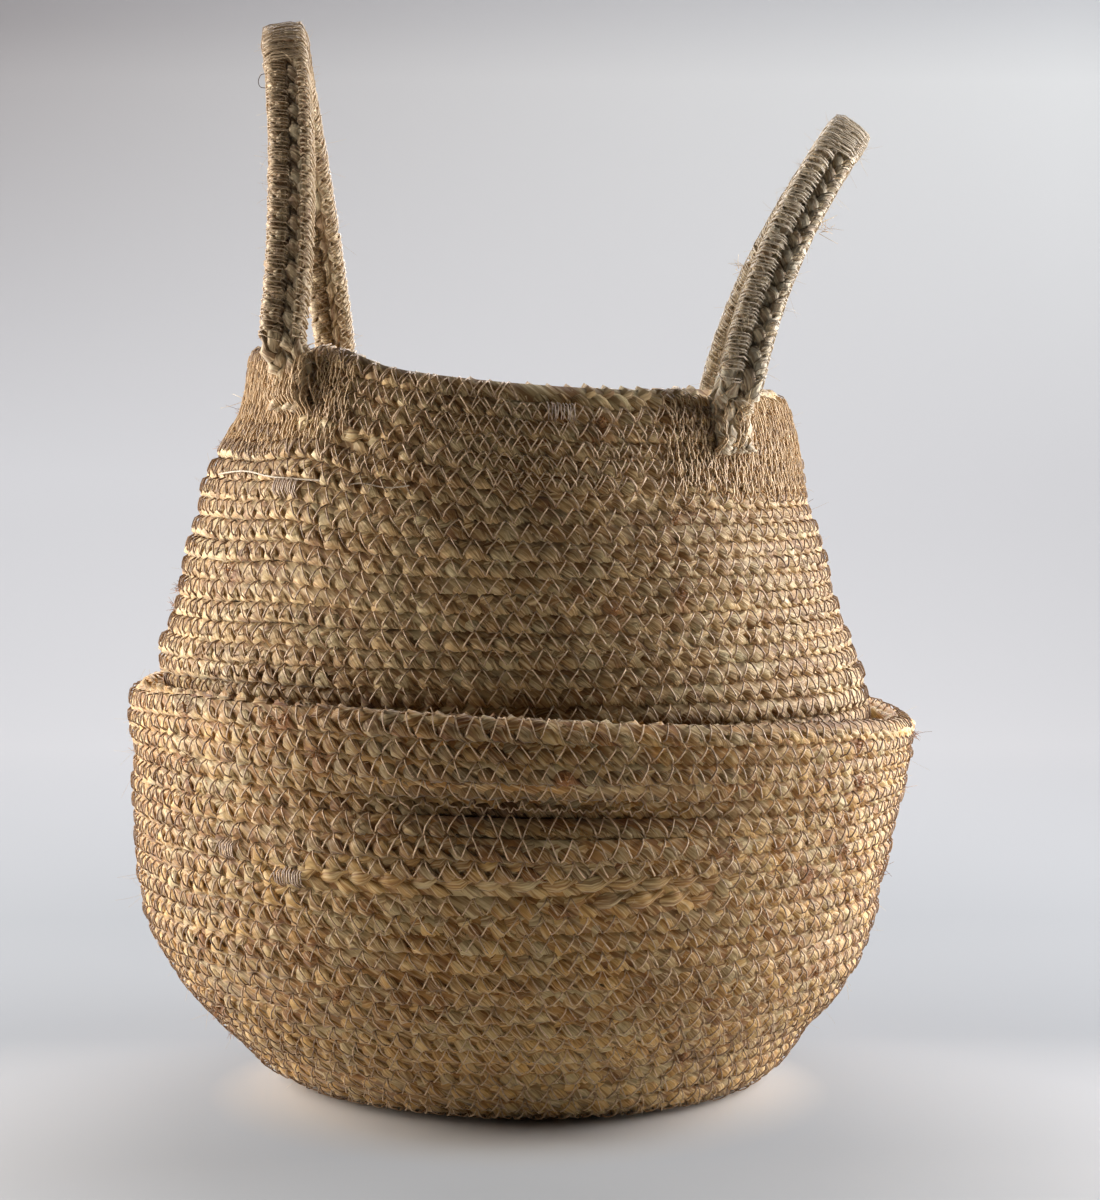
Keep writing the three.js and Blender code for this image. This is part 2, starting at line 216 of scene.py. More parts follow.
# Wall of the basket: its middle surface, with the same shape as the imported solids

wallShape = {
    "thickness": 0.0052,
    "layerGap": 0.0007,
    "baseRadius": 0.077,
    "crestRadius": 0.1519,
    "crestHeight": 0.1476,
    # share of the way out from base to crest, and share of the way up
    "bowlOutline": [
        (0, 0), (0.055, 0), (0.17, 0.017), (0.33, 0.059), (0.482, 0.134), (0.682, 0.244),
        (0.847, 0.403), (0.919, 0.583), (0.96, 0.741), (0.98, 0.851), (1, 1),
    ],
    "valleyHeight": 0.105,
    "valleyTurnRadius": 0.0034,
    "foldTop": 0.148,  # heights of the fold's top, and of its foot in foldFoot
    "foldFoot": 0.103,
    "rimRadius": 0.1025,
    "rimHeight": 0.2735,
    # share of the way out from rim to valley, and share of the way up from valley to rim
    "neckOutline": [
        (1, 0), (1.018, 0.111), (1.02, 0.235), (0.971, 0.316), (0.812, 0.446), (0.581, 0.656),
        (0.413, 0.749), (0.17, 0.904), (0, 1),
    ],
    "crestOffset": 0.0072,  # the crest is higher on the left
    "crestShift": 0.0019,
    "crestDips": [(183, 30, 0.0045, -0.001), (-4, 22, 0.003, 0.0)],  # azimuth, half width, sag down and in
    "crestDipFrom": 0.118,
    "baseSag": (-42, 82, 0.011, 0.009, 0.0046),  # azimuth, half width, height, span and sag of the bottom
    "bellyShift": -0.004,
    "bellyHeight": 0.075,
    "bellySpan": 0.04,
    "neckShift": -0.0045,
    "neckShiftLow": (0.15, 0.185),
    "neckShiftHigh": (0.225, 0.27),
    "neckLevel": (0.115, 0.17),
    # azimuth, half width, height, span and how far out the neck stands there
    "neckBulges": [
        (180, 45, 0.167, 0.01, 0.0046), (180, 40, 0.214, 0.008, -0.0018), (185, 40, 0.248, 0.015, -0.0055),
        (10, 75, 0.108, 0.022, -0.005), (-88, 45, 0.122, 0.028, -0.0048), (0, 999, 0.1, 0.014, -0.002),
    ],
    "rimOffset": 0.01,  # the rim is higher on the left
    "rimSaddle": 0.0045,
    "rimBeyond": 0.02,
    "rimLiftFrom": 0.15,
    "rimCorners": [(229, 9, 0.005), (-52, 10, 0.001)],  # azimuth, half width and lift where a foot pulls
    "creaseDepth": 0.0085,
    "creaseHeight": 0.1215,
    "creaseSpan": 0.0068,
    "creaseAzimuth": -87,
    "creaseHalfWidth": 27,
    "creaseBulges": [(0.1075, 0.008, 0.0026), (0.1335, 0.007, 0.0014)],  # height, span and how far out
    "innerCreaseDepth": 0.005,
    "innerCreaseSpan": 0.011,
}

def outlineLine(outline, start, end):
    # Smooth line whose corners are shares of the way from the start's radius and height to the end's
    out, up = np.array(outline).T
    corners = np.stack([start[0] + out * (end[0] - start[0]), start[1] + up * (end[1] - start[1])], 1)
    return splineLine(corners, 500)


def meridian():
    # Middle line from the base's middle to the rim: straight, spline, half turn, down along the bowl, half
    # turn and spline. It runs on a little over the rim.
    shape = wallShape
    half = shape["thickness"] / 2
    baseEdge = shape["baseRadius"] + shape["layerGap"]
    turnRadius = half + shape["layerGap"] / 2
    valleyRadius = shape["valleyTurnRadius"]
    quarter = np.linspace(0, np.pi / 2, 16)
    arc = np.stack([np.cos(quarter), np.sin(quarter)], 1)
    otherArc = arc[:, ::-1]
    base = np.stack([np.linspace(0, baseEdge, 80), np.full(80, half)], 1)
    bowl = outlineLine(shape["bowlOutline"], (baseEdge, half), (shape["crestRadius"], shape["crestHeight"]))
    crestMiddle = np.array([shape["crestRadius"] - turnRadius, shape["crestHeight"]])
    crestOut = crestMiddle + turnRadius * arc
    crestIn = crestMiddle + turnRadius * otherArc * [-1, 1]
    down = np.linspace(shape["crestHeight"], shape["valleyHeight"], 90)
    fold = np.stack([np.interp(down, bowl[:, 1], bowl[:, 0]) - 2 * turnRadius, down], 1)
    valleyMiddle = np.array([fold[-1, 0] - valleyRadius, shape["valleyHeight"]])
    valleyDown = valleyMiddle + valleyRadius * arc * [1, -1]
    valleyUp = valleyMiddle - valleyRadius * otherArc
    neck = outlineLine(
        shape["neckOutline"],
        (shape["rimRadius"], shape["valleyHeight"]),
        (valleyMiddle[0] - valleyRadius, shape["rimHeight"] - half),
    )
    beyond = neck[-1:] + unit(neck[-1:] - neck[-2:-1]) * shape["rimBeyond"]
    walls = [
        [base],
        [bowl[1:], crestOut[1:]],
        [crestIn[1:], fold[1:], valleyDown[1:]],
        [valleyUp[1:], neck[1:], beyond],
    ]
    points = np.vstack([np.vstack(lines) for lines in walls])
    distance = lengthAlong(points)
    ends = distance[np.cumsum([sum(len(line) for line in lines) for lines in walls]) - 1]
    return points, distance, ends[:3], distance[-2]


lineAt, lineDistance, wallEnds, rimDistance = meridian()


def apartFrom(azimuth, degrees):
    # Shortest way round, from half a turn back to half a turn on
    return (azimuth - math.radians(degrees) + np.pi) % (2 * np.pi) - np.pi


def nearAzimuth(azimuth, degrees, halfWidth):
    # Bell round an azimuth that is given in degrees, as its half width is
    return bell(apartFrom(azimuth, degrees), math.radians(halfWidth))


def rimSweep(azimuth):
    # The rim's height round the neck: saddle x cosine of twice the azimuth - offset x cosine of the azimuth
    return wallShape["rimSaddle"] * np.cos(2 * azimuth) - wallShape["rimOffset"] * np.cos(azimuth)


def wallPoint(distance, azimuth):
    # Point of the middle surface: place on the middle line, moved by the slump, turned to the azimuth
    shape = wallShape
    radius = np.interp(distance, lineDistance, lineAt[:, 0])
    height = np.interp(distance, lineDistance, lineAt[:, 1])
    inside = distance > wallEnds[1]
    onNeck = distance > wallEnds[2]
    cosine = np.cos(azimuth)
    share = (height / shape["crestHeight"]) ** 2
    belly = bell(height - shape["bellyHeight"], shape["bellySpan"])
    aside = shape["crestShift"] * share + shape["bellyShift"] * belly
    depth = np.where(inside, shape["innerCreaseDepth"], shape["creaseDepth"])
    span = np.where(inside, shape["innerCreaseSpan"], shape["creaseSpan"])
    folded = -depth * bell(height - shape["creaseHeight"], span)
    for bulgeHeight, bulgeSpan, bulge in shape["creaseBulges"]:
        folded = folded + bulge * bell(height - bulgeHeight, bulgeSpan)
    window = nearAzimuth(azimuth, shape["creaseAzimuth"], shape["creaseHalfWidth"])
    lowRadius = radius + aside * cosine + folded * window
    lowHeight = height - shape["crestOffset"] * share * cosine
    sagAzimuth, sagHalfWidth, sagHeight, sagSpan, sagDown = shape["baseSag"]
    sag = nearAzimuth(azimuth, sagAzimuth, sagHalfWidth) * bell(height - sagHeight, sagSpan)
    lowHeight = lowHeight - sagDown * sag * ~inside
    nearCrest = smoothStep(height, shape["crestDipFrom"], shape["crestHeight"])
    for dipAzimuth, dipHalfWidth, dipDown, dipIn in shape["crestDips"]:
        sag = nearAzimuth(azimuth, dipAzimuth, dipHalfWidth) * nearCrest
        lowRadius = lowRadius - dipIn * sag
        lowHeight = lowHeight - dipDown * sag
    standing = 0
    for bulgeAzimuth, bulgeHalfWidth, bulgeHeight, bulgeSpan, bulge in shape["neckBulges"]:
        near = nearAzimuth(azimuth, bulgeAzimuth, bulgeHalfWidth)
        standing = standing + bulge * near * bell(height - bulgeHeight, bulgeSpan)
    lift = rimSweep(azimuth)
    for corner, halfWidth, cornerLift in shape["rimCorners"]:
        lift = lift + cornerLift * nearAzimuth(azimuth, corner, halfWidth)
    rise = lift * smoothStep(height, shape["rimLiftFrom"], shape["rimHeight"])
    level = smoothStep(height, *shape["neckLevel"])
    tilt = smoothStep(height, *shape["neckShiftLow"]) * (1 - smoothStep(height, *shape["neckShiftHigh"]))
    neckRadius = lowRadius + (radius - lowRadius) * level + shape["neckShift"] * tilt * cosine + standing
    neckHeight = lowHeight + (height - lowHeight) * level + rise
    turning = smoothStep(distance, wallEnds[2] - np.pi * shape["valleyTurnRadius"], wallEnds[2])
    radius = np.where(onNeck, neckRadius, lowRadius + standing * turning)
    height = np.where(onNeck, neckHeight, lowHeight)
    return np.stack([radius * cosine, radius * np.sin(azimuth), height], -1)


def wallFrame(distance, azimuth):
    # Along is the way of the rows, up the way across them, and out the outer side, each from nearby points
    small = 0.0008
    point = wallPoint(distance, azimuth)
    aside = small / np.maximum(np.hypot(point[..., 0], point[..., 1]), 0.002)
    along = unit(wallPoint(distance, azimuth + aside) - wallPoint(distance, azimuth - aside))
    up = squareTo(wallPoint(distance + small, azimuth) - wallPoint(distance - small, azimuth), along)
    return point, along, up, np.cross(along, up)


print("wall surface worked out")


# Meshes of tubes: strands, threads and hairs


def restOnFloor(height):
    # Pressed flat where the basket stands: give x log(1 + exp(height / give))
    give = 0.0006
    return give * np.logaddexp(0, height / give)


def tubeMesh(name, centres, across, out, halfWidth, halfDepth, sides, material, marks, cellShape=1.6):
    # Ring point = centre + half width x cosine x across + half depth x sine x out. Centres are tubes x rings
    # x 3. The bake map lays the tubes side by side as ribbons, and cellShape is a face's length over width.
    tubeCount, ringCount = centres.shape[:2]
    turn = 2 * np.pi * (np.arange(sides) + 0.5) / sides
    wide = (halfWidth[..., None] * np.cos(turn))[..., None] * across[:, :, None]
    deep = (halfDepth[..., None] * np.sin(turn))[..., None] * out[:, :, None]
    points = (centres[:, :, None] + wide + deep).reshape(-1, 3)
    points[:, 2] = restOnFloor(points[:, 2])
    number = np.arange(len(points)).reshape(tubeCount, ringCount, sides)
    beside = np.roll(number, -1, axis=2)
    walls = np.stack([number[:, :-1], beside[:, :-1], beside[:, 1:], number[:, 1:]], -1).reshape(-1, 4)
    strip = np.arange(sides // 2 - 1)
    capOrder = np.stack([strip, strip + 1, sides - 2 - strip, sides - 1 - strip], 1)
    startCaps = number[:, 0][:, capOrder[:, ::-1]].reshape(-1, 4)
    endCaps = number[:, -1][:, capOrder].reshape(-1, 4)
    quads = np.vstack([walls, startCaps, endCaps])

    mesh = bpy.data.meshes.new(name)
    mesh.vertices.add(len(points))
    mesh.vertices.foreach_set("co", points.astype(np.float32).ravel())
    mesh.loops.add(quads.size)
    mesh.loops.foreach_set("vertex_index", quads.astype(np.int32).ravel())
    mesh.polygons.add(len(quads))
    mesh.polygons.foreach_set("loop_start", np.arange(0, quads.size, 4, dtype=np.int32))
    mesh.update(calc_edges=True)
    mesh.shade_smooth()

    segment = np.arange(tubeCount * (ringCount - 1))
    band = sides + 0.5
    perRow = math.ceil(math.sqrt(len(segment) * band / cellShape))
    ribbonRows = math.ceil(len(segment) / perRow)
    capCount = len(quads) - len(walls)
    capRows = math.ceil(capCount / perRow)
    high = ribbonRows * band + capRows * 1.5
    corner = np.array([[0, 0], [0, 1], [1, 1], [1, 0]])  # along and around, in the order of a face's corners
    wallAlong = (segment % perRow)[:, None, None] + corner[None, None, :, 0]
    wallAround = (segment // perRow)[:, None, None] * band + np.arange(sides)[None, :, None] + corner[:, 1]
    wallAlong = np.broadcast_to(wallAlong, (len(segment), sides, 4))
    cap = np.arange(capCount)
    capAlong = (cap % perRow)[:, None] + 0.1 + 0.8 * corner[:, 0]
    capAround = ribbonRows * band + (cap // perRow)[:, None] * 1.5 + 0.2 + 0.8 * corner[:, 1]
    mapPlace = np.stack([
        np.concatenate([wallAlong.ravel(), capAlong.ravel()]) / perRow,
        np.concatenate([wallAround.ravel(), capAround.ravel()]) / high,
    ], 1)
    bakeMap = mesh.uv_layers.new(name="OFBake")
    bakeMap.uv.foreach_set("vector", mapPlace.astype(np.float32).ravel())

    for markName, values in marks.items():
        ringed = np.repeat(values[:, :, None], sides, axis=2) if values.ndim == 2 else values
        kind, field = ("FLOAT_VECTOR", "vector") if ringed.ndim == 4 else ("FLOAT", "value")
        mark = mesh.attributes.new(markName, kind, "POINT")
        mark.data.foreach_set(field, ringed.astype(np.float32).ravel())
    mesh.materials.append(material)
    piece = bpy.data.objects.new(name, mesh)
    bpy.context.scene.collection.objects.link(piece)
    print(name, len(quads) * 2, "triangles")
    return piece


def fibrePlace(length, start, sides, settings):
    # Pattern place on a strand: a circle round it and the length along it, turned by the twist per metre. The
    # start sets the strands apart in the pattern.
    length, start = np.broadcast_arrays(length, start)
    turn = 2 * np.pi * (np.arange(sides) + 0.5) / sides + (length * settings["twist"])[..., None]
    return np.stack([
        settings["halfWidth"] * np.cos(turn) + start[..., None],
        settings["halfWidth"] * np.sin(turn),
        np.broadcast_to(length[..., None], turn.shape),
    ], -1)


def fasten(piece, body):
    # The fold rides on no body: its place is baked into its mesh. Other pieces ride on a body.
    if body == "fold":
        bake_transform(piece)
    else:
        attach(piece, body)


# Materials


def mixColours(tree, way, share, one, other):
    settings = {"data_type": "RGBA", "blend_type": way}
    return addNode(tree, "ShaderNodeMix", settings, i0=share, i6=one, i7=other).outputs[2]


def remap(tree, value, low, high, toLow=0, toHigh=1):
    return addNode(tree, "ShaderNodeMapRange", i0=value, i1=low, i2=high, i3=toLow, i4=toHigh).outputs[0]


def combine(tree, way, one, other):
    return addNode(tree, "ShaderNodeMath", {"operation": way}, i0=one, i1=other).outputs[0]


def noise(tree, place, scale, detail):
    return addNode(tree, "ShaderNodeTexNoise", Vector=place, Scale=scale, Detail=detail).outputs[0]


def newGroup(name, inputs, outputs):
    group = bpy.data.node_groups.new(name, "ShaderNodeTree")
    for socketName, kind, value in inputs:
        socket = group.interface.new_socket(socketName, in_out="INPUT", socket_type="NodeSocket" + kind)
        if value is not None:
            socket.default_value = value
    for socketName, kind in outputs:
        group.interface.new_socket(socketName, in_out="OUTPUT", socket_type="NodeSocket" + kind)
    return group, group.nodes.new("NodeGroupInput").outputs, group.nodes.new("NodeGroupOutput").inputs


juteColours = {
    "Straw": (230, 188, 114),
    "Shadow": (164, 112, 48),
    "Pale": (204, 188, 142),
    "Slub Colour": (150, 96, 50),
    "Painted Crease Shade Colour": (146, 138, 130),  # painted shade round the crease: the other colours are multiplied by it
    "Tip": (242, 220, 172),
}
juteSettings = {
    "stretch": (1, 1, 0.07),  # the pattern is drawn out along the strand
    # scale and detail of each noise
    "fine": (1600.0, 2.0),
    "clump": (800.0, 1.0),
    "patch": (24.0, 2.0),
    "grey": (55.0, 1.0),
    # two values, and the share of the effect at each of them
    "toneShare": (0.15, 0.8, 0, 1),
    "greyShare": (0.45, 0.65, 0, 0.75),
    "patchShare": (0.35, 0.65, 0.55, 0),
    "streakShare": (0.5, 0.66, 0, 0.55),
    "clumpShare": (0.53, 0.38, 0, 0.65),
    "roughness": (0.3, 0.7, 0.68, 0.46),
    "patchColour": (205, 188, 165),  # patches and clumps multiply the other colours by theirs
    "clumpColour": (164, 128, 88),
}


def makeJuteGroup():
    # Spun jute: fine streaks along the strand, soft clumps, a tone for each strand, patches, grey strands,
    # painted shade round the crease and dark lumps
    settings = juteSettings
    inputs = [
        ("Fibre Place", "Vector", None), ("Place", "Vector", None), ("Tone", "Float", 0.5),
        ("Slub", "Float", 0.0), ("Painted Crease Shade", "Float", 0.0),
    ]
    inputs += [(name, "Color", screenColour(*colour)) for name, colour in juteColours.items()]
    outputs = [("Colour", "Color"), ("Height", "Float"), ("Roughness", "Float")]
    group, inputs, outputs = newGroup("spunJute", inputs, outputs)
    strand = inputs["Fibre Place"]
    stretched = addNode(group, "ShaderNodeMapping", i0=strand, i3=settings["stretch"]).outputs[0]
    fine = noise(group, stretched, *settings["fine"])
    clump = noise(group, stretched, *settings["clump"])
    patch = noise(group, inputs["Place"], *settings["patch"])
    grey = noise(group, strand, *settings["grey"])
    layers = [
        # way to mix, share, colour that is laid over those before
        ("MIX", remap(group, inputs["Tone"], *settings["toneShare"]), inputs["Straw"]),
        ("MIX", remap(group, grey, *settings["greyShare"]), inputs["Pale"]),
        ("MULTIPLY", remap(group, patch, *settings["patchShare"]), screenColour(*settings["patchColour"])),
        ("MIX", remap(group, fine, *settings["streakShare"]), inputs["Tip"]),
        ("MULTIPLY", remap(group, clump, *settings["clumpShare"]), screenColour(*settings["clumpColour"])),
        # Painted shade: round the crease the colour is multiplied by the painted shade colour
        ("MULTIPLY", inputs["Painted Crease Shade"], inputs["Painted Crease Shade Colour"]),
        ("MIX", inputs["Slub"], inputs["Slub Colour"]),
    ]
    colour = inputs["Shadow"]
    for way, share, over in layers:
        colour = mixColours(group, way, share, colour, over)
    feed(group, outputs["Colour"], colour)
    feed(group, outputs["Height"], combine(group, "ADD", fine, clump))
    feed(group, outputs["Roughness"], remap(group, fine, *settings["roughness"]))
    return group


threadSettings = {"grain": (900.0, 1.0), "lightSpan": (0.55, 1.45)}


def makeThreadGroup():
    # Thin spun thread: its colour wanders between dark and light along its length
    inputs = [
        ("Place", "Vector", None), ("Tone", "Float", 0.5), ("Dark", "Color", None), ("Light", "Color", None),
    ]
    group, inputs, outputs = newGroup("spunThread", inputs, [("Colour", "Color"), ("Height", "Float")])
    grain = noise(group, inputs["Place"], *threadSettings["grain"])
    share = remap(group, combine(group, "ADD", inputs["Tone"], grain), *threadSettings["lightSpan"])
    feed(group, outputs["Colour"], mixColours(group, "MIX", share, inputs["Dark"], inputs["Light"]))
    feed(group, outputs["Height"], grain)
    return group


finishes = {
    # group, the shader's own values, the bump's strength and distance, and the mesh mark for each input
    "jute": {
        "group": makeJuteGroup(),
        "shader": {"Sheen Weight": 0.2, "Sheen Roughness": 0.5, "Specular IOR Level": 0.3},
        "bump": {"Strength": 0.65, "Distance": 0.0004},
        "marks": {"Tone": "tone", "Slub": "slub", "Painted Crease Shade": "paintedCreaseShade", "Fibre Place": "fibre"},
    },
    "thread": {
        "group": makeThreadGroup(),
        "shader": {"Roughness": 0.5, "Specular IOR Level": 0.5},
        "bump": {"Strength": 0.3, "Distance": 0.0002},
        "marks": {"Tone": "tone"},
    },
}


def spunMaterial(name, finish, colours, **own):
    # The group gives colour, height and roughness. Values in own change the shader's for this material alone.
    finish = finishes[finish]
    material = bpy.data.materials.new(name)
    material.use_nodes = True
    tree = material.node_tree
    shader = tree.nodes["Principled BSDF"]
    for socket, value in {**finish["shader"], **own}.items():
        shader.inputs[socket].default_value = value
    place = addNode(tree, "ShaderNodeTexCoord").outputs["Object"]
    spun = addNode(tree, "ShaderNodeGroup", {"node_tree": finish["group"]}, Place=place)
    for socket, mark in finish["marks"].items():
        read = addNode(tree, "ShaderNodeAttribute", {"attribute_name": mark})
        feed(tree, spun.inputs[socket], read.outputs["Vector" if mark == "fibre" else "Fac"])
    for socket, colour in colours.items():
        spun.inputs[socket].default_value = screenColour(*colour)
    bump = addNode(tree, "ShaderNodeBump", Height=spun.outputs["Height"], **finish["bump"])
    feed(tree, shader.inputs["Base Color"], spun.outputs["Colour"])
    if "Roughness" in spun.outputs:
        feed(tree, shader.inputs["Roughness"], spun.outputs["Roughness"])
    feed(tree, shader.inputs["Normal"], bump.outputs["Normal"])
    return material


juteKinds = {
    # what differs from the jute's own colours
    "bowl": {},
    "neck": {"Straw": (224, 190, 132), "Shadow": (160, 120, 68)},
    "leftStrap": {"Straw": (208, 184, 146), "Shadow": (156, 130, 98), "Pale": (206, 196, 164)},
    "rightStrap": {"Straw": (208, 194, 166), "Shadow": (156, 140, 114), "Pale": (210, 204, 182)},
}
threadKinds = {
    # dark and light colour, and gloss
    "seamThread": ((110, 84, 60), (226, 196, 160), 0.35),
    "darnThread": ((150, 126, 108), (212, 190, 168), 0.5),
    "paleThread": ((158, 140, 114), (200, 184, 160), 0.5),
    "darkThread": ((58, 44, 34), (96, 76, 58), 0.5),
    "tackThread": ((150, 118, 84), (230, 200, 154), 0.5),
    "leftWrapThread": ((136, 112, 86), (222, 198, 160), 0.5),
    "rightWrapThread": ((142, 126, 104), (224, 208, 182), 0.5),
    "fuzzJute": ((190, 152, 100), (236, 212, 168), 0.5),
    "slubJute": ((92, 56, 26), (190, 130, 68), 0.5),
}
jute = {name: spunMaterial(name + "Jute", "jute", colours) for name, colours in juteKinds.items()}
thread = {
    name: spunMaterial(name, "thread", {"Dark": dark, "Light": light}, **{"Specular IOR Level": gloss})
    for name, (dark, light, gloss) in threadKinds.items()
}
print("materials made")


# The long braid: three strands that cross each other, wound row on row

braidSettings = {
    "rowStep": 0.0068,
    "startDistance": 0.005,
    "lastHalfWidth": 0.0036,  # from the middle of the last row to the rim's edge
    "endAzimuth": 90,
    "endTaper": 0.07,
    "endSize": 0.3,
    "endSink": 0.6,  # share of a row that the thin end sinks into the row under it
    "period": 0.026,
    "periodWander": (0.2, 0.1),  # this and the other wanders: length of a step and size
    "sideSwing": 0.0034,
    "depthSwing": 0.0012,
    "halfWidth": 0.0026,
    "halfDepth": 0.0013,
    "ringsPerPeriod": 11,
    "roll": 25,
    "rollWander": (0.06, 7),
    # height, azimuth and half width of rows rolled the other way, and whether they are on the neck
    "turnedRows": [(0.0935, -88, 48, False), (0.0865, -70, 22, False), (0.243, -129, 15, True)],
    "turnedSpan": 0.0028,
    "turnedRoll": 1.8,  # how much of the roll is taken back there
    "turnedTone": 0.2,
    "turnedOut": 0.0006,
    "longLeaves": 1.35,
    "leafTone": 0.19,  # how far the tone of the leaves between two crossings wanders
    "paintedLowLight": 0.35,  # painted light: the lowest rows are paler, as if lit from the floor
    "paintedLowReach": (0.012, 0.068),
    "paintedCreaseShade": (-94, 30, 0.127, 0.028, 0.85),  # painted shade round the crease: azimuth, half width, height, span and share
    "thickWander": (0.025, 0.09),
    "pinch": 0.28,  # a strand gets thinner where it crosses another
    "inset": 0.0009,
    "rowWander": (0.05, 0.0002),
    "outWander": (0.045, 0.00045),
    "strandTone": (0.11, 0.16),
    "twist": -150,
}

rowStep = braidSettings["rowStep"]
lastDistance = rimDistance + wallShape["thickness"] / 2 - braidSettings["lastHalfWidth"] + rowStep / 2


def braidLine():
    # The line's distance from the middle grows by one row step a turn. Its length is summed over small turns.
    distance = np.arange(braidSettings["startDistance"], lastDistance, rowStep / 240)
    turnsLeft = (lastDistance - distance) / rowStep
    azimuth = math.radians(braidSettings["endAzimuth"]) - 2 * np.pi * turnsLeft
    return distance, azimuth, lengthAlong(wallPoint(distance, azimuth))


spiralDistance, spiralAzimuth, spiralLength = braidLine()
ringStep = braidSettings["period"] / braidSettings["ringsPerPeriod"]
ringLength = np.arange(0, spiralLength[-1], ringStep)
ringDistance = np.interp(ringLength, spiralLength, spiralDistance)
ringAzimuth = np.interp(ringLength, spiralLength, spiralAzimuth)


def turnedShare():
    # 1 along the rows that lie rolled the other way, found by their height, and 0 elsewhere
    height = np.interp(ringDistance, lineDistance, lineAt[:, 1])
    share = np.zeros_like(height)
    folded = ringDistance > wallEnds[1]
    for rowHeight, azimuth, halfWidth, onNeck in braidSettings["turnedRows"]:
        near = bell(height - rowHeight, braidSettings["turnedSpan"]) * (folded == onNeck)
        share = np.maximum(share, near * nearAzimuth(ringAzimuth, azimuth, halfWidth))
    return smoothStep(share, 0.3, 0.8)


turned = turnedShare()
rollWander = wanderBy(ringLength, braidSettings["rollWander"])
ringRoll = np.radians(braidSettings["roll"] * (1 - braidSettings["turnedRoll"] * turned) + rollWander)
periodNow = braidSettings["period"] * (1 + wanderBy(ringLength, braidSettings["periodWander"]))
braidPhase = np.cumsum(2 * np.pi * ringStep / (periodNow * (1 + (braidSettings["longLeaves"] - 1) * turned)))
strandStarts = np.arange(3)[:, None] * 0.07  # of the three strands in the pattern
print(f"braid {spiralLength[-1]:.1f} m long")


def strandPath(phase, sideSwing, depthSwing, roll):
    # A strand swings from side to side once a period and in and out twice, and the braid is rolled a little
    side = sideSwing * np.sin(phase)
    depth = depthSwing * np.sin(2 * phase)
    return side * np.cos(roll) + depth * np.sin(roll), depth * np.cos(roll) - side * np.sin(roll)


def strandTurn(phase):
    # A flat strand turns over at each edge of the braid and back at the other
    share = (phase / (2 * np.pi)) % 1
    return np.pi * (smoothStep(share, 0.125, 0.375) - smoothStep(share, 0.625, 0.875))


def braidRings(point, up, out, lengths, phases, roll, settings):
    # Centres, side directions and sizes of three strands along a line with its ways up and out
    phase = phases[None] + 2 * np.pi / 3 * np.arange(3)[:, None]
    thick = 1 + np.stack([wanderBy(lengths, settings["thickWander"]) for _ in range(3)])
    side, depth = strandPath(phase, settings["sideSwing"], settings["depthSwing"], roll)
    centre = point + side[..., None] * up + depth[..., None] * out
    ahead = unit(np.gradient(centre, axis=1))
    flat = squareTo(up, ahead)
    raised = np.cross(ahead, flat)
    turn = (strandTurn(phase) + roll)[..., None]
    across = flat * np.cos(turn) - raised * np.sin(turn)
    outward = raised * np.cos(turn) + flat * np.sin(turn)
    bulge = thick * (1 - settings["pinch"] * np.cos(4 * phase))
    return centre, across, outward, settings["halfWidth"] * bulge, settings["halfDepth"] * bulge, phase


def leafTone(phase, size):
    # A random tone for each leaf that a strand shows between two crossings
    crossing = np.floor(phase / np.pi).astype(int)
    return np.take_along_axis(luck.normal(0, size, (3, crossing.max() + 2)), crossing, 1)


slubSettings = {
    # azimuth in degrees and height of the dark lumps that the front shows
    "places": [
        (180, 0.12), (-151, 0.126), (-142, 0.129), (-117, 0.137), (-122, 0.15), (-124, 0.146), (-142, 0.148),
        (-37, 0.144), (-36, 0.129), (0, 0.116), (-61, 0.109), (-37, 0.103), (-45, 0.096), (-18, 0.088),
        (-38, 0.055), (-84, 0.134), (-150, 0.037), (-160, 0.024), (-117, 0.053), (-61, 0.028), (180, 0.248),
        (-144, 0.198), (-74, 0.261), (-62, 0.224), (-75, 0.19), (-63, 0.196),
    ],
    "crestTop": 0.1505,  # lumps over this height are on the neck
    "strewn": 50,  # more of them at random round the back
    "reach": 0.0038,
    "share": 0.9,
    "hairs": 44,
    "hairSpread": 0.0009,
    "hairOut": 0.0022,
    "hairLength": 0.0018,
    "hairRadius": 0.0001,
}


def slubWall():
    # Each lump's place on the middle line: bowl below the crest and neck above it, by height
    azimuth, height = np.array(slubSettings["places"]).T
    more = slubSettings["strewn"]
    azimuth = np.radians(np.concatenate([azimuth, luck.uniform(-10, 190, more)]))
    height = np.concatenate([height, luck.uniform(0.02, 0.25, more)])
    onBowl = lineDistance < wallEnds[1] - 0.004
    onNeck = lineDistance > wallEnds[2] + 0.05
    bowlPlace = np.interp(height, lineAt[onBowl, 1], lineDistance[onBowl])
    neckPlace = np.interp(height, lineAt[onNeck, 1], lineDistance[onNeck])
    return np.where(height > slubSettings["crestTop"], neckPlace, bowlPlace), azimuth


slubPlace = slubWall()
slubPoints = wallPoint(*slubPlace)

# The braid's last stretch gets thinner and sinks into the row under it
thinner = smoothStep(spiralLength[-1] - ringLength, 0, braidSettings["endTaper"])
endTaper = braidSettings["endSize"] + (1 - braidSettings["endSize"]) * thinner
rowDrift = wander(ringLength, *braidSettings["rowWander"])
outDrift = wander(ringLength, *braidSettings["outWander"])
strandTone = np.stack([wander(ringLength, *braidSettings["strandTone"]) for _ in range(3)])


def rowFrame(rings, taper):
    # Frame of the row's middle line, which drifts a little and sinks where the braid ends
    distance = ringDistance[rings] + rowDrift[rings] - rowStep * braidSettings["endSink"] * (1 - taper)
    return wallFrame(distance, ringAzimuth[rings])


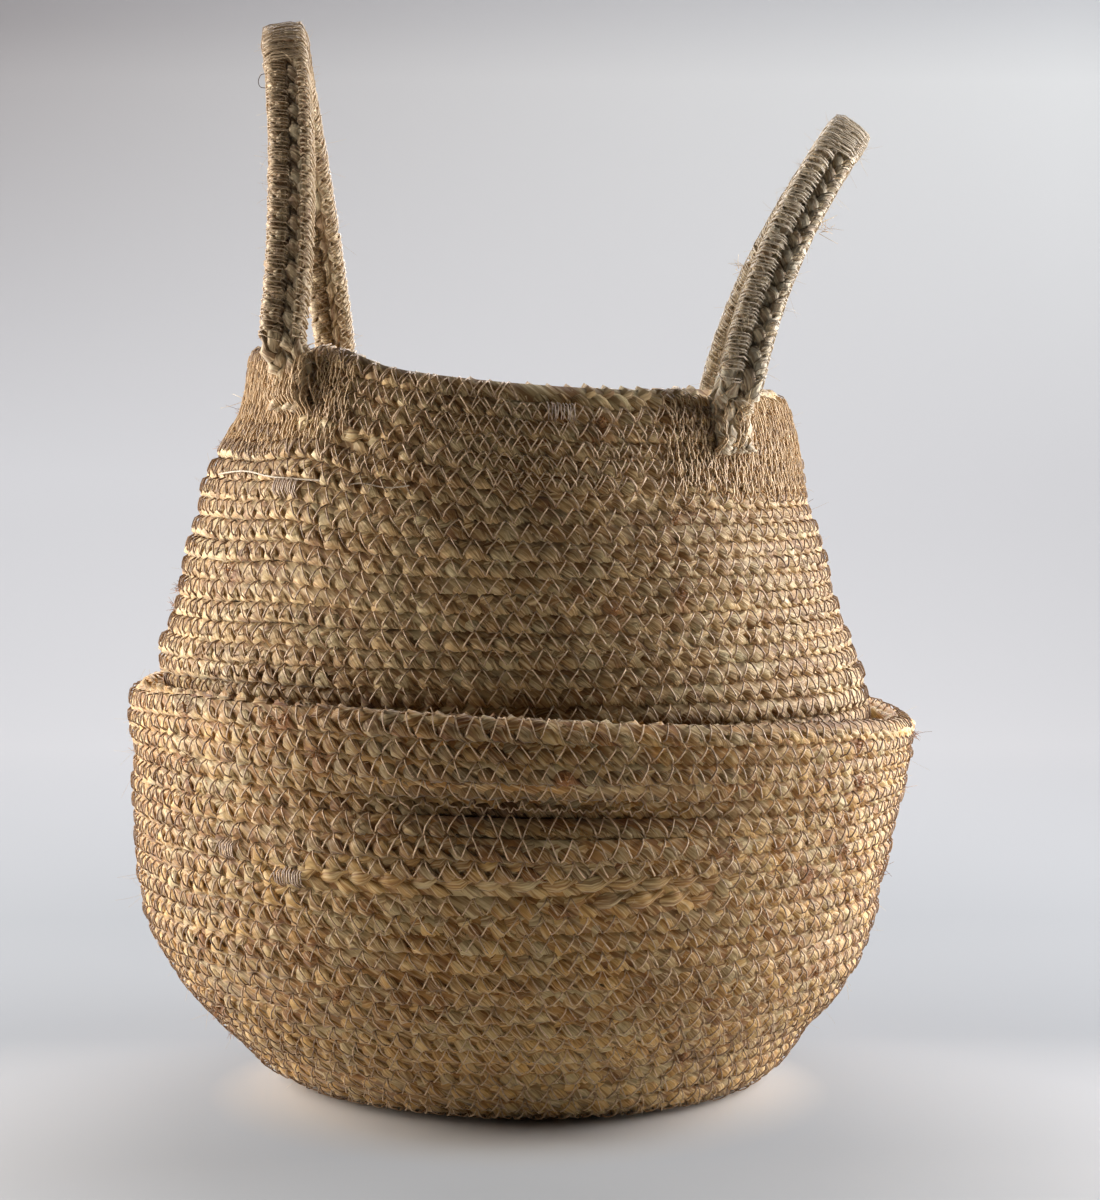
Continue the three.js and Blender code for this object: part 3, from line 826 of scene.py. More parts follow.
def braidPiece(name, first, last, material, step, sides):
    # Three flat strands along the rows from the first ring to the last, with their marks for the material
    settings = braidSettings
    rings = slice(first, last + 1, step)
    lengths, taper = ringLength[rings], endTaper[rings]
    point, _, up, out = rowFrame(rings, taper)
    away = outDrift[rings] + settings["turnedOut"] * turned[rings] - settings["inset"]
    point = point + out * away[:, None]
    centre, across, outward, wide, deep, phase = braidRings(
        point, up, out, lengths - lengths[0], braidPhase[rings], ringRoll[rings], settings
    )
    centre, wide, deep = point + (centre - point) * taper[:, None], wide * taper, deep * taper
    tone = 0.5 + strandTone[:, rings] + leafTone(phase, settings["leafTone"])
    tone = tone + settings["turnedTone"] * turned[rings]
    # Painted light: the lowest rows are made paler
    tone = tone + settings["paintedLowLight"] * (1 - smoothStep(point[:, 2], *settings["paintedLowReach"]))
    away = np.linalg.norm(point[:, None] - slubPoints, axis=2)
    slub = np.minimum(bell(away, slubSettings["reach"]).max(1), slubSettings["share"])
    # Painted shade: the rows round the crease are marked to be darkened
    azimuth, halfWidth, height, span, share = settings["paintedCreaseShade"]
    paintedCreaseShade = share * nearAzimuth(ringAzimuth[rings], azimuth, halfWidth) * bell(point[:, 2] - height, span)
    marks = {
        "tone": np.clip(tone, 0, 1),
        "slub": np.broadcast_to(slub, tone.shape),
        "paintedCreaseShade": np.broadcast_to(paintedCreaseShade, tone.shape),
        "fibre": fibrePlace(lengths, strandStarts, sides, settings),
    }
    return tubeMesh(name, centre, across, outward, wide, deep, sides, material, marks)


coreSettings = {"halfWidth": 0.0049, "halfDepth": 0.0018, "out": -0.0004, "step": 4, "tone": 0.35}


def corePiece(name, first, last, material):
    # The inside of the braid, where its strands press together: a flat bar along the row, seen through chinks
    settings = coreSettings
    rings = slice(first, last + 1, settings["step"])
    size = endTaper[rings][None]
    point, _, up, out = rowFrame(rings, size[0])
    point = (point + out * settings["out"])[None]
    marks = {
        "tone": settings["tone"] * size,
        "fibre": fibrePlace(ringLength[rings][None], 0.3 * size, 4, braidSettings),
    }
    wide, deep = settings["halfWidth"] * size, settings["halfDepth"] * size
    return tubeMesh(name, point, up[None], out[None], wide, deep, 4, material, marks)


def ringAt(distance):
    return int(np.searchsorted(ringLength, np.interp(distance, spiralDistance, spiralLength)))


wallPieces = {
    # name stem, body, number of pieces, CAD node that they stand for, material, rings in a step, sides
    "baseBraid": ("bowl", 1, "base_coil", "bowl", 1, 6),
    "bowlBraid": ("bowl", 4, "bowl_wall", "bowl", 1, 8),
    "foldBraid": ("fold", 1, "fold_wall", "bowl", 2, 6),
    "neckBraid": ("neck", 3, "neck_wall", "neck", 1, 8),
}
wallStarts = [0, *wallEnds, lastDistance]


def makeWall():
    # Each wall's stretch of the spiral is one core and its braid, cut into pieces of even length
    for wall, (stem, (body, count, node, material, step, sides)) in enumerate(wallPieces.items()):
        last = min(ringAt(wallStarts[wall + 1]), len(ringLength) - 1)
        cuts = np.linspace(ringAt(wallStarts[wall]), last, count + 1).astype(int)
        pieces = [corePiece(stem.replace("Braid", "Core"), cuts[0], cuts[-1], jute[material])]
        for number in range(count):
            name = stem if count == 1 else f"{stem}{number + 1}"
            pieces.append(braidPiece(name, cuts[number], cuts[number + 1], jute[material], step, sides))
        for piece in pieces:
            fasten(piece, body)
            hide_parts(node)


makeWall()


# Zigzag thread: legs that run between the middles of two rows

seamSettings = {
    "high": 0.0034,
    "low": 0.0012,
    "radius": 0.0003,
    "holeWander": 0.0003,
    "uneven": 0.05,
    "tone": 0.14,
    "paintedFrontLight": (-88, 48, 0.6),  # painted light: azimuth, half width and how much paler the thread of the front is, as if it caught the side light
    # piece: from and to distance, side (1 outside, -1 inside), body, period and rings in a leg
    "runs": {
        "baseSeam": (0.012, wallEnds[0], 1, "bowl", 0.0084, 5),
        "bowlSeam1": (wallEnds[0], wallEnds[0] + 0.11, 1, "bowl", 0.0084, 5),
        "bowlSeam2": (wallEnds[0] + 0.11, wallEnds[1], 1, "bowl", 0.0084, 5),
        "neckSeam": (wallEnds[2] + 0.03, lastDistance - 0.5 * rowStep, 1, "neck", 0.0084, 5),
        "neckTopSeam": (lastDistance - 6 * rowStep, lastDistance - 0.5 * rowStep, 1, "neck", 0.0074, 5),
        "baseInnerSeam": (0.012, wallEnds[0], -1, "bowl", 0.0084, 4),
        "bowlInnerSeam": (wallEnds[0], wallEnds[0] + 0.06, -1, "bowl", 0.0084, 4),
        "neckInnerSeam": (wallEnds[2] + 0.06, lastDistance - 0.5 * rowStep, -1, "neck", 0.0084, 4),
    },
}


def stitchHeight(share, settings):
    # A stitch rises steeply at its ends and lies flat between: low + (high - low) x (1 - |2 share - 1|^4)
    return settings["low"] + (settings["high"] - settings["low"]) * (1 - np.abs(2 * share - 1) ** 4)


def seamLegs(startLength, endLength, side, period, rings):
    # Needle holes lie half a period apart, in turn in the gap under the row and in the gap over it
    holes = np.arange(startLength, endLength, period / 2)
    holes = holes + luck.normal(0, seamSettings["holeWander"], len(holes))
    distance, azimuth = (np.interp(holes, spiralLength, line) for line in (spiralDistance, spiralAzimuth))
    distance = distance + rowStep * (np.arange(len(holes)) % 2 - 0.5)
    distance = distance + luck.normal(0, seamSettings["holeWander"], len(holes))
    distance = distance + np.interp(holes, ringLength, rowDrift)
    drift = np.interp(holes, ringLength, outDrift)
    sewn = np.interp(holes, ringLength, turned)[:-1] < 0.5  # no thread runs over the turned rows
    share = np.linspace(0, 1, rings)
    legDistance, legAzimuth, legDrift = (
        value[:-1, None] * (1 - share) + value[1:, None] * share for value in (distance, azimuth, drift)
    )
    point, _, _, out = wallFrame(legDistance, legAzimuth)
    uneven = 1 + seamSettings["uneven"] * luck.normal(0, 1, (len(point), 1))
    height = stitchHeight(share, seamSettings) * uneven * side + legDrift
    # Painted light: the thread at the front is made paler, as if it caught the side light
    paintedFrontLightAzimuth, paintedFrontLightHalfWidth, paintedFrontLight = seamSettings["paintedFrontLight"]
    tone = seamSettings["tone"] + paintedFrontLight * nearAzimuth(azimuth[:-1], paintedFrontLightAzimuth, paintedFrontLightHalfWidth)
    return (point + height[..., None] * out)[sewn], (side * out)[sewn], tone[sewn]


threadShape = {"thickWander": 0.12, "toneWander": 0.12, "sides": 4}


def threadPiece(name, centre, outward, radius, material, tone=0.5):
    # Threads of even thickness, each a little thicker or thinner, paler or darker than the others
    ahead = unit(np.gradient(centre, axis=-2))
    across = unit(np.cross(outward, ahead))
    single = (len(centre), 1)
    thick = np.full(centre.shape[:2], radius) * (1 + threadShape["thickWander"] * luck.normal(0, 1, single))
    tone = np.reshape(tone, (-1, 1)) + luck.normal(0, threadShape["toneWander"], single)
    marks = {"tone": np.broadcast_to(np.clip(tone, 0, 1), thick.shape)}
    out, sides = np.cross(ahead, across), threadShape["sides"]
    return tubeMesh(name, centre, across, out, thick, thick, sides, thread[material], marks, cellShape=2.5)


def makeSeams():
    for name, (startDistance, endDistance, side, body, period, rings) in seamSettings["runs"].items():
        start, end = np.interp([startDistance, endDistance], spiralDistance, spiralLength)
        centre, outward, tone = seamLegs(start, end, side, period, rings)
        fasten(threadPiece(name, centre, outward, seamSettings["radius"], "seamThread", tone), body)


makeSeams()


# Tacking: close upright stitches that hold the feet and the top rows near them

tackSettings = {
    "step": 0.0014,
    "rowShare": 0.55,  # share of a row from one line of stitches to the next
    "rowWander": 0.14,
    "columnWander": 0.35,
    "edge": (0.003, 0.003),  # middle and spread of the way from the zone's side to its outermost stitch
    "lowest": (-0.2, 0.3),  # the same in rows for its lowest one
    "length": (0.8, 1.3),  # in rows
    "neckRadius": 0.11,
    "lean": 0.0012,
    "leanShare": (0.2, 1.1),
    "uneven": 0.08,
    "zones": {
        # piece: rows down from the rim, and from and to azimuth in degrees
        "leftTacks": (5.0, 114, 237),
        "rightTacks": (5.6, -62, 60),
    },
    # azimuth, half width and rows down of each sewn strap end, and the share of stitches that climb over it
    "feet": [(222, 5.4, 3.7, 1.0), (132.5, 5.4, 3.7, 0.8), (-46, 5.0, 3.6, 0.35), (43, 5.0, 3.6, 0.6)],
    "footHeight": 0.0078,
    "high": 0.0036,
    "low": 0.0018,
    "radius": 0.00027,
}


def makeTacks():
    # Upright stitches, each about a row high, kept where a soft random edge of the zone lets them be. Over a
    # strap end they stand higher by a flat-topped bump.
    settings = tackSettings
    radius = settings["neckRadius"]
    share = np.linspace(0, 1, 5)
    for name, (deepest, fromAzimuth, toAzimuth) in settings["zones"].items():
        start, end = math.radians(fromAzimuth), math.radians(toAzimuth)
        arc = math.radians(toAzimuth - fromAzimuth)
        columns = int(arc * radius / settings["step"])
        rows = np.arange(0.3, deepest + 0.6, settings["rowShare"])
        row, column = (axis.ravel() for axis in np.meshgrid(rows, np.arange(columns), indexing="ij"))
        row = row + luck.normal(0, settings["rowWander"], len(row))
        angle = start + arc * (column + luck.normal(0, settings["columnWander"], len(row))) / columns
        inside = np.minimum(angle - start, end - angle) * radius
        keep = inside > luck.normal(*settings["edge"], len(row))
        keep = keep & (row < deepest + luck.normal(*settings["lowest"], len(row)))
        angle, row, column = angle[keep], row[keep][:, None], column[keep][:, None]
        long = rowStep * luck.uniform(*settings["length"], row.shape)
        distance = lastDistance - rowStep * row - long * share
        lean = np.where(column % 2 > 0, 1, -1) * luck.uniform(*settings["leanShare"], row.shape)
        azimuth = angle[:, None] + lean * settings["lean"] / radius * (share - 0.5)
        point, _, _, out = wallFrame(distance, azimuth)
        height = stitchHeight(share, settings) * (1 + settings["uneven"] * luck.normal(0, 1, row.shape))
        rowsDown = (lastDistance - distance) / rowStep
        for centre, halfWidth, footRows, chance in settings["feet"]:
            off = np.degrees(np.abs(apartFrom(azimuth, centre)))
            climbs = (luck.random(row.shape) < chance) * settings["footHeight"]
            across = smoothStep(halfWidth + 1.2 - off, 0, 2.4)
            height = height + climbs * across * smoothStep(footRows + 0.4 - rowsDown, 0, 0.9)
        centre = point + height[..., None] * out
        fasten(threadPiece(name, centre, out, settings["radius"], "tackThread"), "neck")


makeTacks()


# Handles: four braids each, from one foot up over the arch to the other foot

handleSettings = {
    # height of the arch, how far it leans, bends and skews out, and azimuths of its feet and their turn
    "left": {
        "rise": 0.125, "lean": 0.0, "bend": 0.01, "skew": 0.0085,
        "front": 221.7, "back": 132.6, "footTurn": 0.5,
    },
    "right": {
        "rise": 0.101, "lean": 0.0205, "bend": 0.0258, "skew": 0.0,
        "front": -46, "back": 43, "footTurn": 0,
    },
}
strapSettings = {
    "braidWidth": 0.00845,
    "braidDepth": 0.0055,
    "gap": 0.0003,
    "columnStep": 0.0078,
    "rimClearance": 0.0025,
    "footLength": 0.019,
    "footTuck": 0.004,
    "footStandOff": 0.0034,
    "footPly": 0.0009,
    "footFlat": 0.7,
    "hingeReach": 0.006,
    "period": 0.0265,
    "periodWander": (0.1, 0.08),
    "sideSwing": 0.00245,
    "depthSwing": 0.00115,
    "halfWidth": 0.0022,
    "halfDepth": 0.0015,
    "roll": 0,
    "leafTone": 0.14,
    "thickWander": (0.025, 0.09),
    "pinch": 0.26,
    "sides": 8,
    "twist": 240,
}
strapHalfWidth = strapSettings["braidWidth"] + strapSettings["gap"] / 2
strapHalfDepth = strapSettings["braidDepth"] + strapSettings["gap"] / 2
neckStart = wallEnds[2] + 0.03
upright = np.array([0, 0, 1])


def neckDistance(azimuth, height):
    # Distance up the middle line at which the neck has this height, found by looking along each line
    trial = np.linspace(neckStart, rimDistance + 0.004, 200)
    heights = wallPoint(trial[None], np.atleast_1d(azimuth)[:, None])[..., 2]
    return np.array([np.interp(want, line, trial) for want, line in zip(np.atleast_1d(height), heights)])


def neckOuterRadius(azimuth, height):
    # Half the wall's thickness out from the middle surface
    point, _, _, out = wallFrame(neckDistance(azimuth, height), np.array([azimuth]))
    return np.hypot(*(point + out * wallShape["thickness"] / 2)[0, :2])


def wayOut(chord, radial):
    # Level, square to the chord between the feet, and away from the basket's middle
    out = np.array([chord[1], -chord[0], 0])
    return -out if out @ radial[0] < 0 else out


def handleFrame(handle):
    # The level line through the two feet, and the way out from the basket
    ends = np.radians([handle["front"], handle["back"]])
    rimTop = wallShape["rimHeight"] + rimSweep(ends)
    radial = np.stack([np.cos(ends), np.sin(ends), np.zeros(2)], 1)
    chord = unit(radial[1] - radial[0])
    out = wayOut(chord, radial)
    seats = []
    for azimuth, top, way in zip(ends, rimTop, radial):
        reach = strapHalfWidth * abs(out @ way) + strapHalfDepth * abs(chord @ way)
        wall = neckOuterRadius(azimuth, top - wallShape["thickness"])
        axisHeight = max(rimTop) + strapSettings["rimClearance"]
        seats.append(way * (wall + reach + strapSettings["gap"]) + [0, 0, axisHeight])
    chord = unit(seats[1] - seats[0])
    return np.array(seats), chord, wayOut(chord, radial)


def strapLine(handle):
    # Middle line and frame of the strap. The arch climbs as 1 - share squared and leans out with it, and each
    # foot runs down from its hinge and settles on the neck. Blend weights are smooth steps of the way down.
    seats, chord, out = handleFrame(handle)
    halfChord = np.linalg.norm(seats[1] - seats[0]) / 2
    share = np.linspace(-1, 1, 241)
    climbed = 1 - share**2
    slope = (handle["lean"] + 2 * handle["bend"] * climbed) / handle["rise"]
    aside = handle["lean"] * climbed + handle["bend"] * climbed**2 + handle["skew"] * share * climbed
    point = seats.mean(0) + chord * (halfChord * share)[:, None] + out * aside[:, None]
    point = point + upright * (handle["rise"] * climbed)[:, None]
    width = unit(out - upright * slope[:, None])
    feet = []
    down = np.linspace(0, 1, 41)[1:]
    drop = down * (strapSettings["footLength"] + strapSettings["rimClearance"] + strapSettings["footTuck"])
    settle = smoothStep(down, -0.25, 0.75)[:, None]
    for seat, azimuth, turn in zip(seats, (handle["front"], handle["back"]), (1, -1)):
        straight = seat - upright * drop[:, None]
        angle = np.radians(azimuth + turn * handle["footTurn"] * down)
        wall, along, _, away = wallFrame(neckDistance(angle, straight[:, 2]), angle)
        settled = wall + away * (wallShape["thickness"] / 2 + strapSettings["footStandOff"])
        sideways = along * np.sign(along @ out)[:, None]
        feet.append((straight + (settled - straight) * settle, unit(out + (sideways - out) * settle * 0.75)))
    point = np.vstack([feet[0][0][::-1], point, feet[1][0]])
    width = np.vstack([feet[0][1][::-1], width, feet[1][1]])
    onFoot = np.concatenate([down[::-1], np.zeros(len(share)), down])
    length = lengthAlong(point)
    even = np.linspace(0, length[-1], int(length[-1] / ringStep) + 1)
    point, width = alongLine(even, length, point), alongLine(even, length, width)
    ahead = unit(np.gradient(point, axis=0))
    width = squareTo(width, ahead)
    outward = np.cross(width, ahead)
    return {
        "point": point,
        "ahead": ahead,
        "width": width,
        "outward": outward if outward[len(even) // 2, 2] > 0 else -outward,
        "length": even,
        "onFoot": np.interp(even, length, onFoot),
        "hingeHeight": seats[0, 2],
    }


strapLines = {side: strapLine(handle) for side, handle in handleSettings.items()}


def strapPiece(name, side, ply, row):
    # One of the strap's braids: middle line + row x half a column across + ply x half a braid over it
    settings, line = strapSettings, strapLines[side]
    length, onFoot = line["length"], line["onFoot"]
    archOver = ply * (settings["braidDepth"] + settings["gap"]) / 2
    over = archOver + (ply * settings["footPly"] - archOver) * smoothStep(onFoot, 0.1, 0.8)
    aside = row * settings["columnStep"] / 2
    centre = line["point"] + line["width"] * aside + line["outward"] * over[:, None]
    frontSide = line["outward"] * ply
    periodNow = settings["period"] * (1 + wanderBy(length, settings["periodWander"]))
    phase = np.cumsum(2 * np.pi * ringStep / periodNow) + luck.uniform(0, 2 * np.pi)
    up = -np.cross(line["ahead"], frontSide)
    mid, across, way, wide, deep, phase = braidRings(
        centre, up, frontSide, length, phase, settings["roll"], settings
    )
    deep = deep * (1 - (1 - settings["footFlat"]) * onFoot)
    start = strandStarts + 1 + row * 0.2 + ply * 0.4
    marks = {
        "tone": np.clip(0.5 + leafTone(phase, settings["leafTone"]), 0, 1),
        "fibre": fibrePlace(length, start, settings["sides"], settings),
    }
    return tubeMesh(name, mid, across, way, wide, deep, settings["sides"], jute[side + "Strap"], marks)


def bendStrap(piece):
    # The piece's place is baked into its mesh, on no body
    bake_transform(piece)


wrapSettings = {
    "pitch": 0.0017,
    "edgePitch": 0.0022,
    "topPitch": 0.00125,
    "stepsPerTurn": 12,
    "radius": 0.00028,
    "footShare": 0.075,  # share of the strap that stays bare at each end
    "topShare": 0.2,
}


def wrapLine(line, pitch, startShare, endShare, centreAside, halfAcross, halfDeep, slant):
    # Thread wound round part of the strap: a squarish ring whose place runs on along the strap with each turn
    length = line["length"]
    start, end = startShare * length[-1], endShare * length[-1]
    turns = (end - start) / pitch
    turned = np.linspace(0, turns, int(turns * wrapSettings["stepsPerTurn"]))
    place = np.linspace(start, end, len(turned)) + pitch * 0.3 * wander(turned, 0.7, 1.0)
    cosine, sine = np.cos(turned * 2 * np.pi), np.sin(turned * 2 * np.pi)
    squarish = (np.abs(cosine) ** 4 + np.abs(sine) ** 4) ** -0.25
    rough = 1 + 0.04 * wander(turned, 0.4, 1.0)
    aside = centreAside + halfAcross * cosine * squarish * rough
    over = halfDeep * sine * squarish * rough
    place = np.clip(place + slant * cosine * pitch, 0, length[-1])
    point, width, outward = (alongLine(place, length, line[name]) for name in ("point", "width", "outward"))
    centre = point + width * aside[:, None] + outward * over[:, None]
    return centre, unit(width * cosine[:, None] * 0.6 + outward * sine[:, None])


def makeHandles():
    column, bare, half = strapSettings["columnStep"], wrapSettings["footShare"], wrapSettings["topShare"] / 2
    for side, line in strapLines.items():
        for plyName, ply in (("upper", 1), ("lower", -1)):
            for rowName, row in (("inboard", -1), ("outboard", 1)):
                piece = strapPiece(f"{side}{plyName.title()}{rowName.title()}Braid", side, ply, row)
                bendStrap(piece)
                nodes = [f"{side}_handle_{plyName}_{rowName}"]
                if ply > 0:
                    nodes.append(f"{side}_{'front' if row > 0 else 'back'}_foot")
                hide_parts(*nodes)
        # The column on the viewer's left is wound all over: the outboard one of the left handle, the inboard
        # one of the right handle
        wound = 1 if side == "left" else -1
        runs = {
            # pitch, from and to share of the strap, place across it, half width, half depth and slant
            "Wrap": (wrapSettings["pitch"], bare, 1 - bare, wound * column / 2, 0.0045, 0.0066, 0.5),
            "Edge": (wrapSettings["edgePitch"], bare, 1 - bare, -wound * column * 0.8, 0.0022, 0.0062, 0.7),
            "Top": (wrapSettings["topPitch"], 0.5 - half, 0.5 + half, 0, 0.0084, 0.0069, 0.9),
        }
        for runName, run in runs.items():
            centre, outward = wrapLine(line, *run)
            name, radius = f"{side}{runName}Thread", wrapSettings["radius"]
            bendStrap(threadPiece(name, centre[None], outward[None], radius, side + "WrapThread"))


makeHandles()


# Mends: close stitches over one row, a pale thread between rows, and threads that have come loose

mendSettings = {
    "pitch": 0.0011,
    "high": 0.0041,
    "low": 0.0014,
    "lean": 0.0004,
    "radius": 0.00028,
    # piece: body, and azimuth, height and width of each close patch
    "patches": {
        "neckDarns": ("neck", [(-82, 0.2565, 0.009), (-133, 0.2302, 0.0115)]),
        "bowlDarns": ("bowl", [(-133, 0.1055, 0.007), (-122, 0.0985, 0.012)]),
    },
    # azimuth and height along each pale thread, and how far it stands off the wall's middle
    "paleLines": [
        [(-158, 0.2357), (-147, 0.2367), (-137, 0.2345), (-124, 0.233)],
        [(-121, 0.2312), (-118, 0.2322), (-113, 0.2306), (-109, 0.2313)],
    ],
    "paleOut": 0.003,
    "paleRadius": 0.00036,
    # piece: body, material, radius, and pixel column, pixel row and depth of each bend of the thread
    "loose": {
        "leftHandleLoop": (
            "left_handle", "darkThread", 0.00022,
            [(270, 78, -0.022), (264, 79, -0.024), (261, 85, -0.025), (263, 91, -0.024), (270, 92, -0.022)],
        ),
        "rightHandleLoop": (
            "right_handle", "tackThread", 0.0002,
            [(719, 358, -0.0848), (722, 352, -0.0885), (728, 352, -0.091), (729, 360, -0.092),
             (723, 364, -0.091), (729, 367, -0.0884)],
        ),
        "rightFootThread1": (
            "neck", "paleThread", 0.00022,
            [(730, 399, -0.0866), (736, 401, -0.0895), (744, 401, -0.0892), (753, 407, -0.0836)],
        ),
        "rightFootThread2": (
            "neck", "tackThread", 0.0002,
            [(712, 404, -0.0875), (717, 398, -0.0892), (724, 394, -0.089), (734, 386, -0.0895),
             (737, 372, -0.0872)],
        ),
    },
}


def rowNear(azimuth, height, body):
    # Distance of the middle of the row that lies nearest to this height
    first, last = (neckStart, rimDistance) if body == "neck" else wallEnds[:2]
    trial = np.linspace(first, last, 400)
    heights = wallPoint(trial, np.full(400, azimuth))[:, 2]
    distance = trial[np.abs(heights - height).argmin()]
    part = (math.radians(braidSettings["endAzimuth"]) - azimuth) / (2 * np.pi)
    return lastDistance - rowStep * (round((lastDistance - distance) / rowStep - part) + part)


def makeDarns():
    # Stitches side by side, each leaning the other way than the last
    settings = mendSettings
    share = np.linspace(0, 1, 5)
    for name, (body, patches) in settings["patches"].items():
        centres, outs = [], []
        for azimuth, height, width in patches:
            middle = math.radians(azimuth)
            distance = rowNear(middle, height, body)
            radius = np.hypot(*wallPoint(np.array([distance]), np.array([middle]))[0, :2])
            aside = np.arange(-width / 2, width / 2, settings["pitch"])[:, None]
            lean = np.where(np.arange(len(aside)) % 2 > 0, 1, -1)[:, None] * settings["lean"]
            angle = middle + (aside + luck.normal(0, 0.0001, aside.shape) + lean * (share - 0.5)) / radius
            across = distance + rowStep * 1.05 * (share - 0.5) + luck.normal(0, 0.0002, aside.shape)
            point, _, _, out = wallFrame(across, angle)
            centres.append(point + out * stitchHeight(share, settings)[:, None])
            outs.append(out)
        fasten(threadPiece(name, np.vstack(centres), np.vstack(outs), settings["radius"], "darnThread"), body)


def makeLooseThreads():
    # Pale threads lie on the neck. A loose thread's point = camera + depth x pixels aside / focal length.
    centres, outs = [], []
    for corners in mendSettings["paleLines"]:
        azimuth, height = splineLine(corners, 40).T
        azimuth = np.radians(azimuth)
        point, _, _, out = wallFrame(neckDistance(azimuth, height), azimuth)
        centres.append(point + out * mendSettings["paleOut"])
        outs.append(out)
    radius = mendSettings["paleRadius"]
    fasten(threadPiece("paleThreads", np.array(centres), np.array(outs), radius, "paleThread"), "neck")
    place = np.array(cameraSettings["place"])
    for name, (body, material, radius, corners) in mendSettings["loose"].items():
        column, row, depth = splineLine(corners, 8 * len(corners)).T
        away = (depth - place[1]) / cameraSettings["focalPixels"]
        centre = np.stack([
            place[0] + (column - cameraSettings["axisPixel"]) * away,
            depth,
            place[2] - (row - cameraSettings["horizonPixel"]) * away,
        ], 1)
        outward = np.broadcast_to((0, -1, 0), centre.shape)
        fasten(threadPiece(name, centre[None], outward[None], radius, material), body)


makeDarns()
makeLooseThreads()


# Fuzz: thin curved hairs that stand off the braid, and brown tufts at the dark lumps

fuzzSettings = {
    # body: hairs, their length, and from and to distance on the middle line
    "wall": {
        "bowl": (2250, 0.0026, wallEnds[0] + 0.004, wallEnds[1] + 0.004),
        "neck": (1500, 0.0022, wallEnds[2] + 0.05, lastDistance),
    },
    "strap": (600, 0.0026),
    "radius": 0.000045,
    "outerShare": 0.85,
    "rootOut": (0.0012, 0.0028),
    "longShare": 0.04,
    "longTimes": 3.2,
    "longest": 0.011,
    # body, place, way out, hairs and length of tufts that stick out
    "tufts": {
        "rightInnerFray": ("right_handle", (0.0937, 0.0555, 0.3236), (-1, -0.3, 0.1), 16, 0.0045),
        "rightOuterFray": ("right_handle", (0.1134, -0.0525, 0.3295), (1, -0.3, -0.1), 16, 0.005),
        "leftWhisker": ("neck", (-0.1065, -0.02, 0.2665), (-1, -0.2, 0.1), 5, 0.008),
        "rightFootFray": ("neck", (0.0835, -0.0855, 0.259), (0.5, -0.8, 0.2), 40, 0.005),
    },
    "tuftRadius": 0.0001,
}


hairShape = {
    "points": 4,
    "outShare": (0.25, 1.0),
    "aside": 0.45,
    "bend": 0.4,
    "lowest": 0.0005,  # no hair goes into the floor
    "rootSize": 1.1,
    "thinning": 0.6,
}


def hairLengths(length, count):
    # Mostly near the length, a few much longer
    return length * luck.gamma(3, 0.33, count)


def hairMesh(name, roots, outs, lengths, radius, material="fuzzJute"):
    # A hair leaves its root, leans aside and bends on: root + length x (share x way + share^2 x bend)
    count = len(roots)
    way = outs * luck.uniform(*hairShape["outShare"], (count, 1))
    way = unit(way + luck.normal(0, hairShape["aside"], (count, 3)))
    bend = luck.normal(0, hairShape["bend"], (count, 3))
    share = np.linspace(0, 1, hairShape["points"])[None, :, None]
    centre = roots[:, None] + lengths[:, None, None] * (share * way[:, None] + share**2 * bend[:, None])
    centre = centre[centre[..., 2].min(1) > hairShape["lowest"]]
    count = len(centre)
    ahead = unit(np.gradient(centre, axis=1))
    across = unit(np.cross(ahead, unit(luck.normal(0, 1, (count, 1, 3)))))
    thick = radius * (hairShape["rootSize"] - hairShape["thinning"] * share[..., 0]) * np.ones((count, 1))
    marks = {"tone": np.broadcast_to(luck.uniform(0, 1, (count, 1)), thick.shape)}
    return tubeMesh(
        name, centre, across, np.cross(ahead, across), thick, thick, 4, thread[material], marks, cellShape=4.0
    )


def makeWallFuzz():
    settings = fuzzSettings
    for body, (count, hairLength, *span) in settings["wall"].items():
        length = luck.uniform(*np.interp(span, spiralDistance, spiralLength), count)
        distance = np.interp(length, spiralLength, spiralDistance) + luck.uniform(-0.5, 0.5, count) * rowStep
        point, _, _, out = wallFrame(distance, np.interp(length, spiralLength, spiralAzimuth))
        side = np.where(luck.random(count) < settings["outerShare"], 1, -1)[:, None]
        lengths = hairLengths(hairLength, count)
        lengths = lengths * np.where(luck.random(count) < settings["longShare"], settings["longTimes"], 1)
        lengths = np.minimum(lengths, settings["longest"])
        roots = point + side * out * luck.uniform(*settings["rootOut"], (count, 1))
        fasten(hairMesh(f"{body}Fuzz", roots, side * out, lengths, settings["radius"]), body)


def makeSlubHairs():
    settings = slubSettings
    point, _, _, out = wallFrame(*slubPlace)
    onNeck = slubPlace[0] > wallEnds[2]
    for body, chosen in (("bowl", ~onNeck), ("neck", onNeck)):
        roots = np.repeat(point[chosen] + out[chosen] * settings["hairOut"], settings["hairs"], axis=0)
        roots = roots + luck.normal(0, settings["hairSpread"], roots.shape)
        outs = np.repeat(out[chosen], settings["hairs"], axis=0)
        lengths = hairLengths(settings["hairLength"], len(roots))
        fasten(hairMesh(f"{body}Slubs", roots, outs, lengths, settings["hairRadius"], "slubJute"), body)


def makeStrapFuzz():
    count, hairLength = fuzzSettings["strap"]
    for side, line in strapLines.items():
        spot = luck.choice(np.flatnonzero(line["onFoot"] < 0.1), count)
        turn = luck.uniform(0, 2 * np.pi, (count, 1))
        aside, over = line["width"][spot] * np.cos(turn), line["outward"][spot] * np.sin(turn)
        roots = line["point"][spot] + aside * strapHalfWidth + over * strapHalfDepth
        lengths = hairLengths(hairLength, count)
        bendStrap(hairMesh(f"{side}StrapFuzz", roots, aside + over, lengths, fuzzSettings["radius"]))


